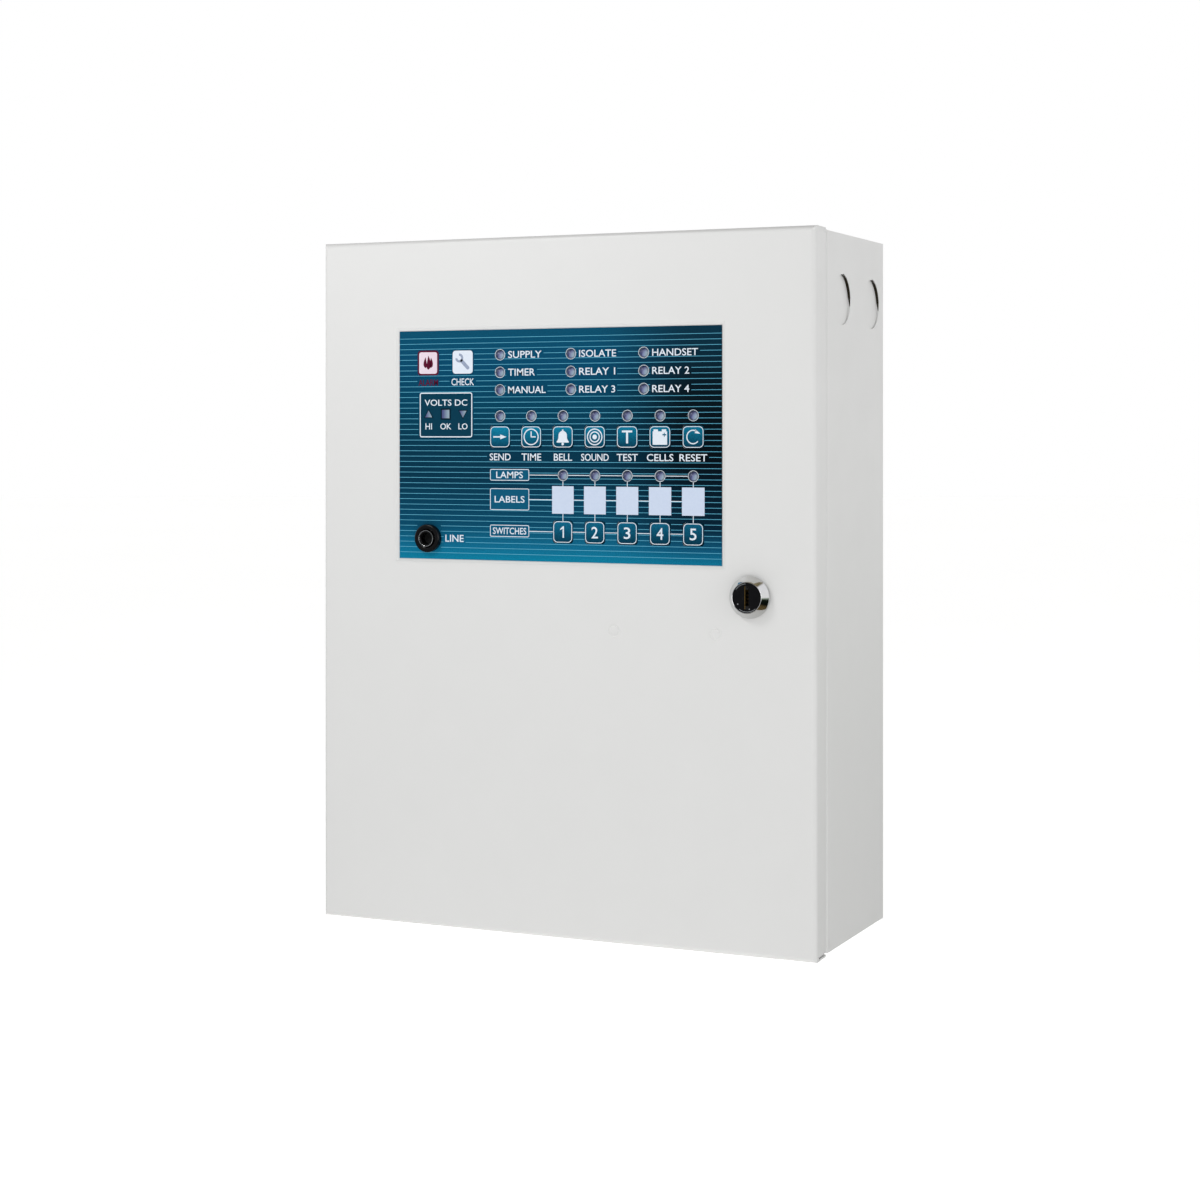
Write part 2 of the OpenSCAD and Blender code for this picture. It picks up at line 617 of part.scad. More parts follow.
lock_face = door_front - lock_out;
plug_r = 7.9;
barrel_rear = door_in + 18.8;
cam_front = rim_in + 0.9;
cam_rear = cam_front + 2;
module lock_barrel() color("silver") difference() {
    union() {
        taper(lock_at, 8.7, bezel_r - 0.3, lock_face, door_front - 1.5);
        disc(lock_at, bezel_r, door_front - 1.5, door_front);
        intersection() {
            disc(lock_at, 9.4, door_front, barrel_rear);
            slab(lock_at, [20, 16.8], door_front - 1, barrel_rear + 1);
        }
    }
    disc(lock_at, plug_r + 0.06, lock_face - 1, barrel_rear + 1);
}
module lock_nut() color("silver") difference() {
    disc(lock_at, 14.5, door_in, door_in + 4.5, 6);
    disc(lock_at, 9.45, door_in - 1, door_in + 6);
}
module lock_plug() color("black") difference() {
    union() {
        disc(lock_at, plug_r, lock_face + 0.4, barrel_rear + 0.4);
        disc(lock_at, 8.9, barrel_rear + gap, cam_front);
        slab(lock_at, [8, 8], cam_front - 0.5, cam_rear - 0.2);
    }
    slab(lock_at, [1.9, 8.8], lock_face - 1, lock_face + 12);
    disc(lock_at, 2.1, cam_rear - 9, cam_rear + 1);
}
module lock_cam() color("silver") difference() {
    union() {
        disc(lock_at, 8.5, cam_front, cam_rear);
        slab(lock_at + [0, 12], [14, 24], cam_front, cam_rear);
        disc(lock_at + [0, 23], 7, cam_front, cam_rear);
    }
    slab(lock_at, [8.2, 8.2], cam_front - 1, cam_rear + 1);
}
module lock_screw() color("silver") {
    difference() {
        disc(lock_at, 6.5, cam_rear, cam_rear + 2.6, 6);
        slab(lock_at, [9, 1.2], cam_rear + 1.6, cam_rear + 3);
    }
    disc(lock_at, 2, cam_rear - 8, cam_rear + 0.1);
}

// ---- Cable loop across the hinge ----

loom_route = [[-91, board_rear + 9.4, 78], [-91, -95, 78], [-97, -88, 73], [-108, -84, 62],
    [-120, -82, 48], [-128, -78, 34], [-131, -68, 22], [-130, -54, 14], [-122, -40, 10],
    [-108, -30, 8], [-104, -25, 8], [-104, plug_front, 8]];
bond_route = [[-126, -119, 100], [-126, -106, 99], [-127, -96, 94], [-129, -86, 86],
    [-131, -74, 78], [-131, -56, 73], [-130, -36, 71], [-129, -16, 70], [-128, back_in - 1, 70]];
module door_loom() color("dimgray") {
    lead(loom_route, 3.4, [0.9, 0.1, 0.3], 10);
    lead(bond_route, 1.6, [0.9, 0.1, 0.3]);
}

// ---- Keys ----

// Cap in the overlay, flange behind the steel, and a stem into the switch
module key(at, size) color("steelblue") {
    cap_front = film_front - gap;
    flange_front = floor_in + gap;
    round_slab(at, size, cap_front, flange_front + 1.2, 1.5);
    slab(at, size + [1.6, 1.6], flange_front, flange_front + 1.2);
    disc(at, 3, flange_front + 1, switch_front + 0.6);
}
module function_key(i) key(function_keys[i], [key_w, key_h]);
module zone_button(i) key(zone_keys[i], zone_key);

cabinet_shell();
hinge_ears();
earth_stud();
transformer_core();
transformer_coil();
transformer_frame();
mains_terminals();
fuse_holders();
charger_board();
charger_fixings();
charger_heatsink();
charger_regulators();
charger_capacitors();
charger_connectors();
battery_left();
battery_right();
battery_terminals();
battery_bracket();
battery_leads();
field_terminals();
terminal_screws();
supply_leads();
door_shell();
overlay_panel();
indicator_leds();
fire_window();
fault_window();
voltmeter_lamps();
zone_name_labels();
phone_jack();
phone_jack_nut();
main_board();
board_fixings();
tact_switches();
board_chips();
door_relays();
board_buzzer();
board_connectors();
relay_board();
hinge_brackets();
hinge_pins();
lock_barrel();
lock_nut();
door_loom();
lock_plug();
lock_cam();
lock_screw();
function_key(0);  // key_output
function_key(1);  // key_delay
function_key(2);  // key_bell
function_key(3);  // key_buzzer
function_key(4);  // key_test
function_key(5);  // key_battery_test
function_key(6);  // key_reset
zone_button(0);  // key_zone_1
zone_button(1);  // key_zone_2
zone_button(2);  // key_zone_3
zone_button(3);  // key_zone_4
zone_button(4);  // key_zone_5
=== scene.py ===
import math

import bmesh
import bpy
from bpy.props import FloatProperty, FloatVectorProperty, PointerProperty
from mathutils import Matrix, Vector


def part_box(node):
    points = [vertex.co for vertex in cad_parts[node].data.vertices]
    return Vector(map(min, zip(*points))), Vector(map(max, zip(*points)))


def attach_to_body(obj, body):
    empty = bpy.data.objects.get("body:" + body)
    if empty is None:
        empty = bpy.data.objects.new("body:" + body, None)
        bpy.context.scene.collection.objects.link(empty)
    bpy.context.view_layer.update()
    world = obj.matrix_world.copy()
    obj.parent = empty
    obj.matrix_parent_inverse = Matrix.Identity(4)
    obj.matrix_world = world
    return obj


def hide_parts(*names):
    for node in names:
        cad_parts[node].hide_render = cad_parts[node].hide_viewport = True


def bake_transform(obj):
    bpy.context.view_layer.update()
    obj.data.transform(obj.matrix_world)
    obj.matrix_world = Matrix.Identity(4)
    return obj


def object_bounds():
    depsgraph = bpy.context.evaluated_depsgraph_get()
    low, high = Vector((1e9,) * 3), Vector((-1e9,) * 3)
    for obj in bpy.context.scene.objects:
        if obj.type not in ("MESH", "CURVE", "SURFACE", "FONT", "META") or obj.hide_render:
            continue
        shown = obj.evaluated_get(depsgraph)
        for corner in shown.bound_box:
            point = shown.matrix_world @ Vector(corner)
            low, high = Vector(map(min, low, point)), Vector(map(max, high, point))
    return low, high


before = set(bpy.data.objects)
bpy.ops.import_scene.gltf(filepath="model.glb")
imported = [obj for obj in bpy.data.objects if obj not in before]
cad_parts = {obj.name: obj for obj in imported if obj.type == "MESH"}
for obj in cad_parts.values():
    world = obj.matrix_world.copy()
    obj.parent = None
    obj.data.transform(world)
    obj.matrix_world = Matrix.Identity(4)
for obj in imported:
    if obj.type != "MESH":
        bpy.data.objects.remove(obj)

bl_info = {
    "name": "Fire alarm control panel",
    "version": (1, 0, 0),
    "blender": (4, 5, 0),
    "location": "3D View > Sidebar > Fire Panel",
    "description": "Finishes a wall-mounted fire alarm control panel around its packed frame",
    "category": "Object",
}

CAD_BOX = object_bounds()
MM = 0.001                                              # shapes are drawn in millimetres
FACE_FRONT = Matrix.Rotation(math.radians(90), 4, "X")  # lays a flat shape in the plane of the door
ALONG_Y = Matrix.Rotation(math.radians(-90), 4, "X")    # turns an upright bar to run back from the door
MADE = bpy.data.materials                               # finishes that an earlier operator has made, by name


# ---- Colour and nodes ----

def linear(code):
    """Turns an sRGB hex colour into the linear RGBA that Blender works in."""
    parts = [int(code[i:i + 2], 16) / 255 for i in (1, 3, 5)]
    return tuple(c / 12.92 if c <= 0.04045 else ((c + 0.055) / 1.055) ** 2.4 for c in parts) + (1.0,)


def add(tree, kind, inputs=None, stops=None, **settings):
    """Adds a node with its settings; an input is a value or a socket, and stops fill a colour ramp."""
    node = tree.nodes.new(kind)
    for name, value in settings.items():
        setattr(node, name, value)
    for name, value in (inputs or {}).items():
        if isinstance(value, bpy.types.NodeSocket):
            tree.links.new(value, node.inputs[name])
        else:
            node.inputs[name].default_value = value
    for index, (spot, colour) in enumerate(stops or ()):
        ramp = node.color_ramp.elements
        stop = ramp[index] if index < 2 else ramp.new(spot)
        stop.position = spot
        stop.color = colour
    return node


def surface(name, colour, second=None, patch_mm=4.0, roughness=(0.4, 0.5), grain_mm=0.6, relief_mm=0.01,
            pattern=None, **sockets):
    """Shared base of the finishes: a colour that drifts in patches, varied gloss and a fine relief.

    pattern is a function that takes the tree and the place on the object and returns a colour socket.
    """
    material = MADE.new(name)
    material.use_nodes = True
    tree = material.node_tree
    tree.nodes.clear()
    place = add(tree, "ShaderNodeTexCoord").outputs["Object"]
    patches = add(tree, "ShaderNodeTexNoise", {"Vector": place, "Scale": 1 / (patch_mm * MM), "Detail": 4.0})
    grain = add(tree, "ShaderNodeTexNoise", {"Vector": place, "Scale": 1 / (grain_mm * MM), "Detail": 2.0})
    if pattern:
        shade = pattern(tree, place)
    else:
        shade = add(tree, "ShaderNodeMix", {0: patches.outputs["Fac"], 6: colour, 7: second or colour},
                    data_type="RGBA").outputs[2]
    gloss = add(tree, "ShaderNodeMapRange", {"Value": patches.outputs["Fac"], "From Min": 0.3,
                                            "From Max": 0.7, "To Min": roughness[0], "To Max": roughness[1]})
    relief = add(tree, "ShaderNodeBump", {"Height": grain.outputs["Fac"], "Distance": relief_mm * MM})
    shader = add(tree, "ShaderNodeBsdfPrincipled", {
        "Base Color": shade, "Roughness": gloss.outputs["Result"], "Normal": relief.outputs["Normal"],
        **sockets})
    add(tree, "ShaderNodeOutputMaterial", {"Surface": shader.outputs["BSDF"]})
    return material


def speckled(tree, place, colour, grain_mm, low, high):
    """Brightens and darkens a colour with a fine print or casting grain."""
    grain = add(tree, "ShaderNodeTexNoise", {"Vector": place, "Scale": 1 / (grain_mm * MM), "Detail": 1.0})
    level = add(tree, "ShaderNodeMapRange", {"Value": grain.outputs["Fac"], "From Min": 0.3, "From Max": 0.7,
                                            "To Min": low, "To Max": high})
    return add(tree, "ShaderNodeVectorMath", {0: colour, "Scale": level.outputs["Result"]},
               operation="SCALE").outputs["Vector"]


# ---- Settings ----

def colour_setting(name, description, code):
    """Colour property that starts at an sRGB hex colour."""
    return FloatVectorProperty(name=name, description=description, size=4, subtype="COLOR", min=0, max=1,
                               default=linear(code))


def length_setting(name, description, metres):
    """Length property."""
    return FloatProperty(name=name, description=description, unit="LENGTH", precision=5, default=metres)


def power_setting(name, description, watts):
    """Power property of a light."""
    return FloatProperty(name=name, description=description, unit="POWER", min=0, default=watts)


class CoatAndInk(bpy.types.PropertyGroup):
    """Colours of the steel, the overlay and the prints"""
    coat: colour_setting("Powder coat", "Colour of the coated steel", "#dededd")
    film_top: colour_setting("Film, top", "Overlay colour along its top edge", "#0b4c68")
    film_middle: colour_setting("Film, middle", "Overlay colour at its darkest", "#06344a")
    film_foot: colour_setting("Film, foot", "Overlay colour along its bottom edge", "#0c7a9a")
    white_ink: colour_setting("White ink", "Captions, frames and symbols", "#e2ebf5")
    line_ink: colour_setting("Line ink", "Fine lines across the overlay", "#5aabc8")
    red_ink: colour_setting("Red ink", "Alarm symbol, border and caption", "#5c1330")


class PrintSizes(bpy.types.PropertyGroup):
    """Sizes of what is printed on the overlay"""
    line_pitch: length_setting("Line pitch", "Distance between the fine lines", 0.003)
    line_width: length_setting("Line width", "Thickness of a fine line", 0.0003)
    frame_width: length_setting("Frame width", "Thickness of the frames round the keys", 0.00038)
    caption_height: length_setting("Caption height", "Height of a capital letter", 0.0039)
    ink: length_setting("Ink thickness", "How far the print stands on the film", 0.00003)


class StageSettings(bpy.types.PropertyGroup):
    """Floor, light and camera"""
    floor: colour_setting("Floor", "Colour of the studio floor", "#f6f6f5")
    key_power: power_setting("Key light", "Power of the high soft light", 1.05)
    fill_power: power_setting("Fill light", "Power of the light beside the camera", 0.55)
    rim_power: power_setting("Rim light", "Power of the light on the right", 4.0)
    sky: FloatProperty(name="Room light", description="Strength of the even light from all round",
                       subtype="FACTOR", min=0, max=1, default=0.385)
    lens: FloatProperty(name="Lens", description="Focal length of the camera", unit="CAMERA", default=69.03)


# ---- Shapes. A place is (x, z) in millimetres and a span runs from y0, in front, to y1, behind. ----

def middle(node):
    """Place of the middle of a CAD node."""
    low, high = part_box(node)
    return ((low.x + high.x) / 2 / MM, (low.z + high.z) / 2 / MM)


def span(node):
    """Front and rear of a CAD node."""
    low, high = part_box(node)
    return low.y / MM, high.y / MM


def solids(node):
    """Boxes of a node's separate solids, as (low, high), from the top down and from left to right."""
    bm = bmesh.new()
    bm.from_mesh(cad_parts[node].data)
    bmesh.ops.remove_doubles(bm, verts=bm.verts, dist=1e-6)
    found, seen = [], set()
    for first in bm.verts:
        if first in seen:
            continue
        seen.add(first)
        reached, queue = [], [first]
        while queue:
            vert = queue.pop()
            reached.append(vert.co / MM)
            fresh = [e.other_vert(vert) for e in vert.link_edges if e.other_vert(vert) not in seen]
            seen.update(fresh)
            queue.extend(fresh)
        found.append((Vector(map(min, zip(*reached))), Vector(map(max, zip(*reached)))))
    bm.free()
    return sorted(found, key=lambda b: (-round(b[1].z), round(b[0].x)))


def place_of(box):
    """Middle of a solid's box, as a place."""
    return ((box[0].x + box[1].x) / 2, (box[0].z + box[1].z) / 2)


def shifted(at, dx=0.0, dz=0.0):
    """A place moved across and up."""
    return (at[0] + dx, at[1] + dz)


def flat_plate(bm, at, size, y, corner=0.0, turn=0.0, steps=5):
    """Flat rectangle with round corners that faces the front; returns its face."""
    matrix = (Matrix.Translation((at[0], y, at[1])) @ FACE_FRONT @ Matrix.Rotation(math.radians(turn), 4, "Z")
              @ Matrix.Diagonal((size[0], size[1], 1, 1)))
    verts = bmesh.ops.create_grid(bm, x_segments=1, y_segments=1, size=0.5, matrix=matrix)["verts"]
    if corner:
        verts = bmesh.ops.bevel(bm, geom=verts, offset=corner, offset_type="OFFSET", segments=steps,
                                profile=0.5, affect="VERTICES", material=-1)["verts"]
    return verts[0].link_faces[0]


def flat_frame(bm, at, size, y, width, corner=0.0):
    """Outline of a rectangle with round corners."""
    inner = flat_plate(bm, at, size, y, corner)
    bmesh.ops.inset_region(bm, faces=[inner], thickness=width, use_even_offset=True,
                           use_boundary=True)
    bmesh.ops.delete(bm, geom=[inner], context="FACES")


def flat_ring(bm, at, outer, y, width, start=0.0, sweep=360.0, steps=32):
    """Flat ring, or a stretch of one, that starts at an angle above +X."""
    first = Matrix.Rotation(math.radians(-start), 3, "Y") @ Vector((1, 0, 0))
    verts = [bm.verts.new(Vector((at[0], y, at[1])) + first * r) for r in (outer - width, outer)]
    edge = bm.edges.new(verts)
    bmesh.ops.spin(bm, geom=verts + [edge], cent=(at[0], y, at[1]), axis=(0, -1, 0),
                   angle=math.radians(sweep), steps=steps, use_merge=sweep == 360.0)


def flat_disc(bm, at, r, y, sides=24):
    """Flat round."""
    bmesh.ops.create_circle(bm, cap_ends=True, segments=sides, radius=r,
                            matrix=Matrix.Translation((at[0], y, at[1])) @ FACE_FRONT)


def flat_shape(bm, at, points, y):
    """Flat outline through points given about a place."""
    bm.faces.new([bm.verts.new((at[0] + x, y, at[1] + z)) for x, z in points])


def lettering(bm, text, at, y, height, width=None, anchor=0.5, weight=0.008):
    """Flat capitals; width squeezes them, and anchor is the share of it that lies left of the place."""
    curve = bpy.data.curves.new("lettering", "FONT")
    curve.body = text
    curve.offset = weight
    curve.resolution_u = 3
    holder = bpy.data.objects.new("lettering", curve)
    bpy.context.scene.collection.objects.link(holder)
    bpy.context.view_layer.update()
    mesh = bpy.data.meshes.new_from_object(holder)
    across, up = [[v.co[i] for v in mesh.vertices] for i in (0, 1)]
    grow = height / (max(up) - min(up))
    squeeze = width / (max(across) - min(across)) if width else grow
    left = min(across) + anchor * (max(across) - min(across))
    mesh.transform(Matrix.Translation((at[0], y, at[1])) @ FACE_FRONT @ Matrix.Diagonal((squeeze, grow, 1, 1))
                   @ Matrix.Translation((-left, -(min(up) + max(up)) / 2, 0)))
    bm.from_mesh(mesh)
    bpy.data.objects.remove(holder)
    bpy.data.curves.remove(curve)
    bpy.data.meshes.remove(mesh)


def thicken(bm, depth, faces=None):
    """Pulls flat faces out along Y by a depth, negative towards the front."""
    grown = bmesh.ops.extrude_face_region(bm, geom=list(faces or bm.faces))["geom"]
    bmesh.ops.translate(bm, vec=(0, depth, 0), verts=[v for v in grown if isinstance(v, bmesh.types.BMVert)])


def block(bm, at, size, y0, y1, corner=0.0, turn=0.0):
    """Solid block with its middle at a place."""
    thicken(bm, y1 - y0, [flat_plate(bm, at, size, y0, corner, turn)])


def rod(bm, at, r0, r1, y0, y1, sides=24):
    """Round bar along Y, of one radius in front and another behind."""
    bmesh.ops.create_cone(bm, cap_ends=True, segments=sides, radius1=r0, radius2=r1, depth=y1 - y0,
                          matrix=Matrix.Translation((at[0], (y0 + y1) / 2, at[1])) @ ALONG_Y)


def bar(bm, start, end, r, sides=10):
    """Round bar between two points."""
    start, end = Vector(start), Vector(end)
    turn = (end - start).to_track_quat("Z", "Y").to_matrix().to_4x4()
    bmesh.ops.create_cone(bm, cap_ends=True, segments=sides, radius1=r, radius2=r, depth=(end - start).length,
                          matrix=Matrix.Translation((start + end) / 2) @ turn)


def turned(bm, at, profile, sides=48):
    """Piece turned about a line along Y from (radius, y) points, closed unless it starts on the line."""
    before = set(bm.verts)
    corners = [bm.verts.new((at[0] + r, y, at[1])) for r, y in profile]
    edges = [bm.edges.new(pair) for pair in zip(corners, corners[1:])]
    if profile[0][0] > 0:
        edges.append(bm.edges.new((corners[-1], corners[0])))
    bmesh.ops.spin(bm, geom=corners + edges, cent=(at[0], 0, at[1]), axis=(0, 1, 0), angle=2 * math.pi,
                   steps=sides, use_merge=True)
    bmesh.ops.remove_doubles(bm, verts=[v for v in bm.verts if v not in before], dist=0.001)


def ease(bm, width, steps=2, angle=30.0, chosen=None):
    """Rounds the edges that turn by more than an angle, or only the chosen ones among them."""
    bmesh.ops.recalc_face_normals(bm, faces=bm.faces)
    sharp = [e for e in bm.edges if e.is_manifold and e.calc_face_angle() > math.radians(angle)
             and (chosen is None or chosen(e))]
    bmesh.ops.bevel(bm, geom=sharp, offset=width, offset_type="OFFSET", segments=steps, profile=0.5,
                    affect="EDGES", material=-1, clamp_overlap=True)


def bench_copy(node):
    """Copy of a CAD node in millimetres, with its loose triangles merged into flat faces."""
    bm = bmesh.new()
    bm.from_mesh(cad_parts[node].data)
    bmesh.ops.scale(bm, vec=Vector((1, 1, 1)) / MM, verts=bm.verts)
    bmesh.ops.remove_doubles(bm, verts=bm.verts, dist=0.001)
    bmesh.ops.dissolve_limit(bm, angle_limit=0.01, verts=bm.verts, edges=bm.edges)
    return bm


def attach(piece, body, stands_for=()):
    """Rides a piece on its body, and hides the nodes that it stands for."""
    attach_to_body(piece, body)
    if stands_for:
        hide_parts(*stands_for)
    return piece


def finish(bm, name, body, material, slot, *stands_for, smooth=38.0):
    """Turns a drawn shape into a finished piece in metres."""
    bmesh.ops.dissolve_degenerate(bm, dist=0.0005, edges=bm.edges)
    bmesh.ops.recalc_face_normals(bm, faces=bm.faces)
    bmesh.ops.scale(bm, vec=Vector((MM, MM, MM)), verts=bm.verts)
    mesh = bpy.data.meshes.new(name)
    bm.to_mesh(mesh)
    bm.free()
    mesh.materials.append(material)
    mesh.shade_smooth()
    mesh.set_sharp_from_angle(angle=math.radians(smooth))
    piece = bpy.data.objects.new(name, mesh)
    bpy.context.scene.collection.objects.link(piece)
    evened = piece.modifiers.new("Weighted Normal", "WEIGHTED_NORMAL")
    evened.keep_sharp = True
    return attach(piece, body, stands_for)


def dress_copy(node, name, body, material, slot, width=0.0, steps=2):
    """Stands an eased copy in for a CAD node whose shape is right."""
    bm = bench_copy(node)
    if width:
        ease(bm, width, steps)
    return finish(bm, name, body, material, slot, node)


def wire(name, body, route, r, material, slot, *stands_for):
    """Insulated lead along a route of points; without a body it is left unattached."""
    curve = bpy.data.curves.new(name, "CURVE")
    curve.dimensions = "3D"
    curve.bevel_depth = r * MM
    curve.bevel_resolution = 3
    curve.resolution_u = 6
    curve.use_fill_caps = True
    spline = curve.splines.new("BEZIER")
    spline.bezier_points.add(len(route) - 1)
    for point, spot in zip(spline.bezier_points, route):
        point.co = Vector(spot) * MM
        point.handle_left_type = "AUTO"
        point.handle_right_type = "AUTO"
    holder = bpy.data.objects.new(name, curve)
    bpy.context.scene.collection.objects.link(holder)
    bpy.context.view_layer.update()
    mesh = bpy.data.meshes.new_from_object(holder)
    bpy.data.objects.remove(holder)
    bpy.data.curves.remove(curve)
    mesh.materials.clear()
    mesh.materials.append(material)
    mesh.shade_smooth()
    piece = bpy.data.objects.new(name, mesh)
    bpy.context.scene.collection.objects.link(piece)
    if body:
        attach(piece, body, stands_for)
    return piece


# ---- Finishes ----

def powder_coat(colour):
    """Baked polyester powder on steel: a fine orange peel that breaks the highlights softly."""
    darker = tuple(0.97 * c for c in colour[:3]) + (1.0,)
    return surface("powder_coated_steel", colour, darker, patch_mm=30, roughness=(0.36, 0.43),
                   grain_mm=0.9, relief_mm=0.02)


def zinc_plate():
    """Zinc-plated pressed steel: cool grey with cloudy brighter spangles."""
    return surface("zinc_plated_steel", linear("#b7bcc0"), linear("#979da3"), patch_mm=2.2,
                   roughness=(0.28, 0.42), grain_mm=0.3, relief_mm=0.004, Metallic=1.0)


def brass():
    """Turned brass: warm yellow with faint tarnish."""
    return surface("turned_brass", linear("#c9a24e"), linear("#a9823a"), patch_mm=1.8,
                   roughness=(0.22, 0.36), grain_mm=0.25, relief_mm=0.003, Metallic=1.0)


def chrome():
    """Bright chrome plate: clear reflections with the least haze."""
    return surface("chrome_plate", linear("#d9dadb"), linear("#cfcfce"), patch_mm=3, roughness=(0.05, 0.09),
                   grain_mm=0.4, relief_mm=0.0008, Metallic=1.0)


def tin():
    """Tinned legs and solder: soft bright grey with rounded glints."""
    return surface("tinned_solder", linear("#c4c8ca"), linear("#a3a8ab"), patch_mm=0.8, roughness=(0.2, 0.34),
                   grain_mm=0.2, relief_mm=0.004, Metallic=1.0)


def moulded(name, code, second, roughness=(0.35, 0.5), grain_mm=0.35, relief_mm=0.006, **sockets):
    """Moulded thermoplastic: even colour under a fine spark-eroded texture."""
    return surface(name, linear(code), linear(second), patch_mm=5, roughness=roughness, grain_mm=grain_mm,
                   relief_mm=relief_mm, IOR=1.5, **sockets)


def ink(name, colour):
    """Screen-printed ink: opaque and matt, a little uneven where the mesh laid it down."""
    thin = tuple(0.86 * c for c in colour[:3]) + (1.0,)
    return surface(name, colour, thin, patch_mm=0.9, roughness=(0.55, 0.7), grain_mm=0.25, relief_mm=0.002,
                   **{"Specular IOR Level": 0.05})


def overlay_film(colours):
    """Polycarbonate overlay printed on its rear: a blue-green blend under a fine matt grain, with painted
    shade that darkens its right part.
    """
    low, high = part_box("overlay_panel")

    def blend(tree, place):
        axes = add(tree, "ShaderNodeSeparateXYZ", {"Vector": place})
        height = add(tree, "ShaderNodeMapRange", {"Value": axes.outputs["Z"], "From Min": low.z,
                                                 "From Max": high.z}).outputs["Result"]
        main = add(tree, "ShaderNodeValToRGB", {"Fac": height}, [
            (0.0, colours.film_foot), (1.0, colours.film_top), (0.06, linear("#106789")),
            (0.15, linear("#0a4864")), (0.35, linear("#063248")), (0.50, colours.film_middle),
            (0.66, linear("#053f58")), (0.85, linear("#084665"))])
        # Painted shade: towards its right edge the film blends into this darker copy of its colours
        shadow = add(tree, "ShaderNodeValToRGB", {"Fac": height}, [
            (0.0, linear("#0d7090")), (1.0, linear("#0a3144")), (0.06, linear("#0d5272")),
            (0.15, linear("#042234")), (0.45, linear("#030d14")), (0.75, linear("#04151e"))])
        painted_side_shade = add(tree, "ShaderNodeMapRange", {"Value": axes.outputs["X"], "From Min": high.x - 0.08,
                                                "From Max": high.x - 0.015}, interpolation_type="SMOOTHSTEP")
        mixed = add(tree, "ShaderNodeMix", {0: painted_side_shade.outputs["Result"], 6: main.outputs["Color"],
                                            7: shadow.outputs["Color"]}, data_type="RGBA")
        return speckled(tree, place, mixed.outputs[2], 0.5, 0.78, 1.22)

    return surface("printed_polycarbonate_overlay", None, roughness=(0.38, 0.48), grain_mm=0.3,
                   relief_mm=0.004, pattern=blend, IOR=1.58, **{"Specular IOR Level": 0.02})


def key_film(name, node, top, foot):
    """Embossed key face: a lighter blue-green at the top of each row of keys, deep at its foot, and darker
    towards the right by painted shade.
    """
    low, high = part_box(node)
    overlay_low, overlay_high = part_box("overlay_panel")

    def blend(tree, place):
        axes = add(tree, "ShaderNodeSeparateXYZ", {"Vector": place})
        height = add(tree, "ShaderNodeMapRange", {"Value": axes.outputs["Z"], "From Min": low.z,
                                                 "From Max": high.z}).outputs["Result"]
        main = add(tree, "ShaderNodeValToRGB", {"Fac": height}, [
            (0.1, linear(foot)), (0.95, linear(top))])
        # Painted light: keys on the left of the overlay are brightened, and those on the right are shaded
        # darker
        painted_side_shade = add(tree, "ShaderNodeMapRange", {"Value": axes.outputs["X"], "From Min": overlay_low.x,
                                                "From Max": overlay_high.x, "To Min": 1.15, "To Max": 0.72})
        dimmed = add(tree, "ShaderNodeVectorMath",
                     {0: main.outputs["Color"], "Scale": painted_side_shade.outputs["Result"]}, operation="SCALE")
        return speckled(tree, place, dimmed.outputs["Vector"], 0.5, 0.78, 1.22)

    return surface(name, None, roughness=(0.36, 0.46), grain_mm=0.3, relief_mm=0.004, pattern=blend, IOR=1.58,
                   **{"Specular IOR Level": 0.02})


def epoxy_lens():
    """Cast epoxy of an unlit indicator: smoky, with painted shade on its left and a painted highlight low on
    its right, set by the way each face points.
    """
    def cup(tree, place):
        # Painted light: the colour follows the way the surface faces, dark to the left and a pale painted
        # highlight low on the right
        facing = add(tree, "ShaderNodeTexCoord").outputs["Normal"]
        side = add(tree, "ShaderNodeVectorMath", {0: facing, 1: (0.72, -0.1, -0.32)}, operation="DOT_PRODUCT")
        return add(tree, "ShaderNodeValToRGB", {"Fac": side.outputs["Value"]}, [
            (0.0, linear("#3f4468")), (0.75, linear("#9fb3c0")), (0.14, linear("#5f658c")),
            (0.4, linear("#7c88a8"))]).outputs["Color"]

    return surface("cast_epoxy_lens", None, roughness=(0.12, 0.2), grain_mm=0.6, relief_mm=0.002, pattern=cup,
                   IOR=1.54, **{"Specular IOR Level": 0.3, "Coat Weight": 0.4, "Coat Roughness": 0.05})


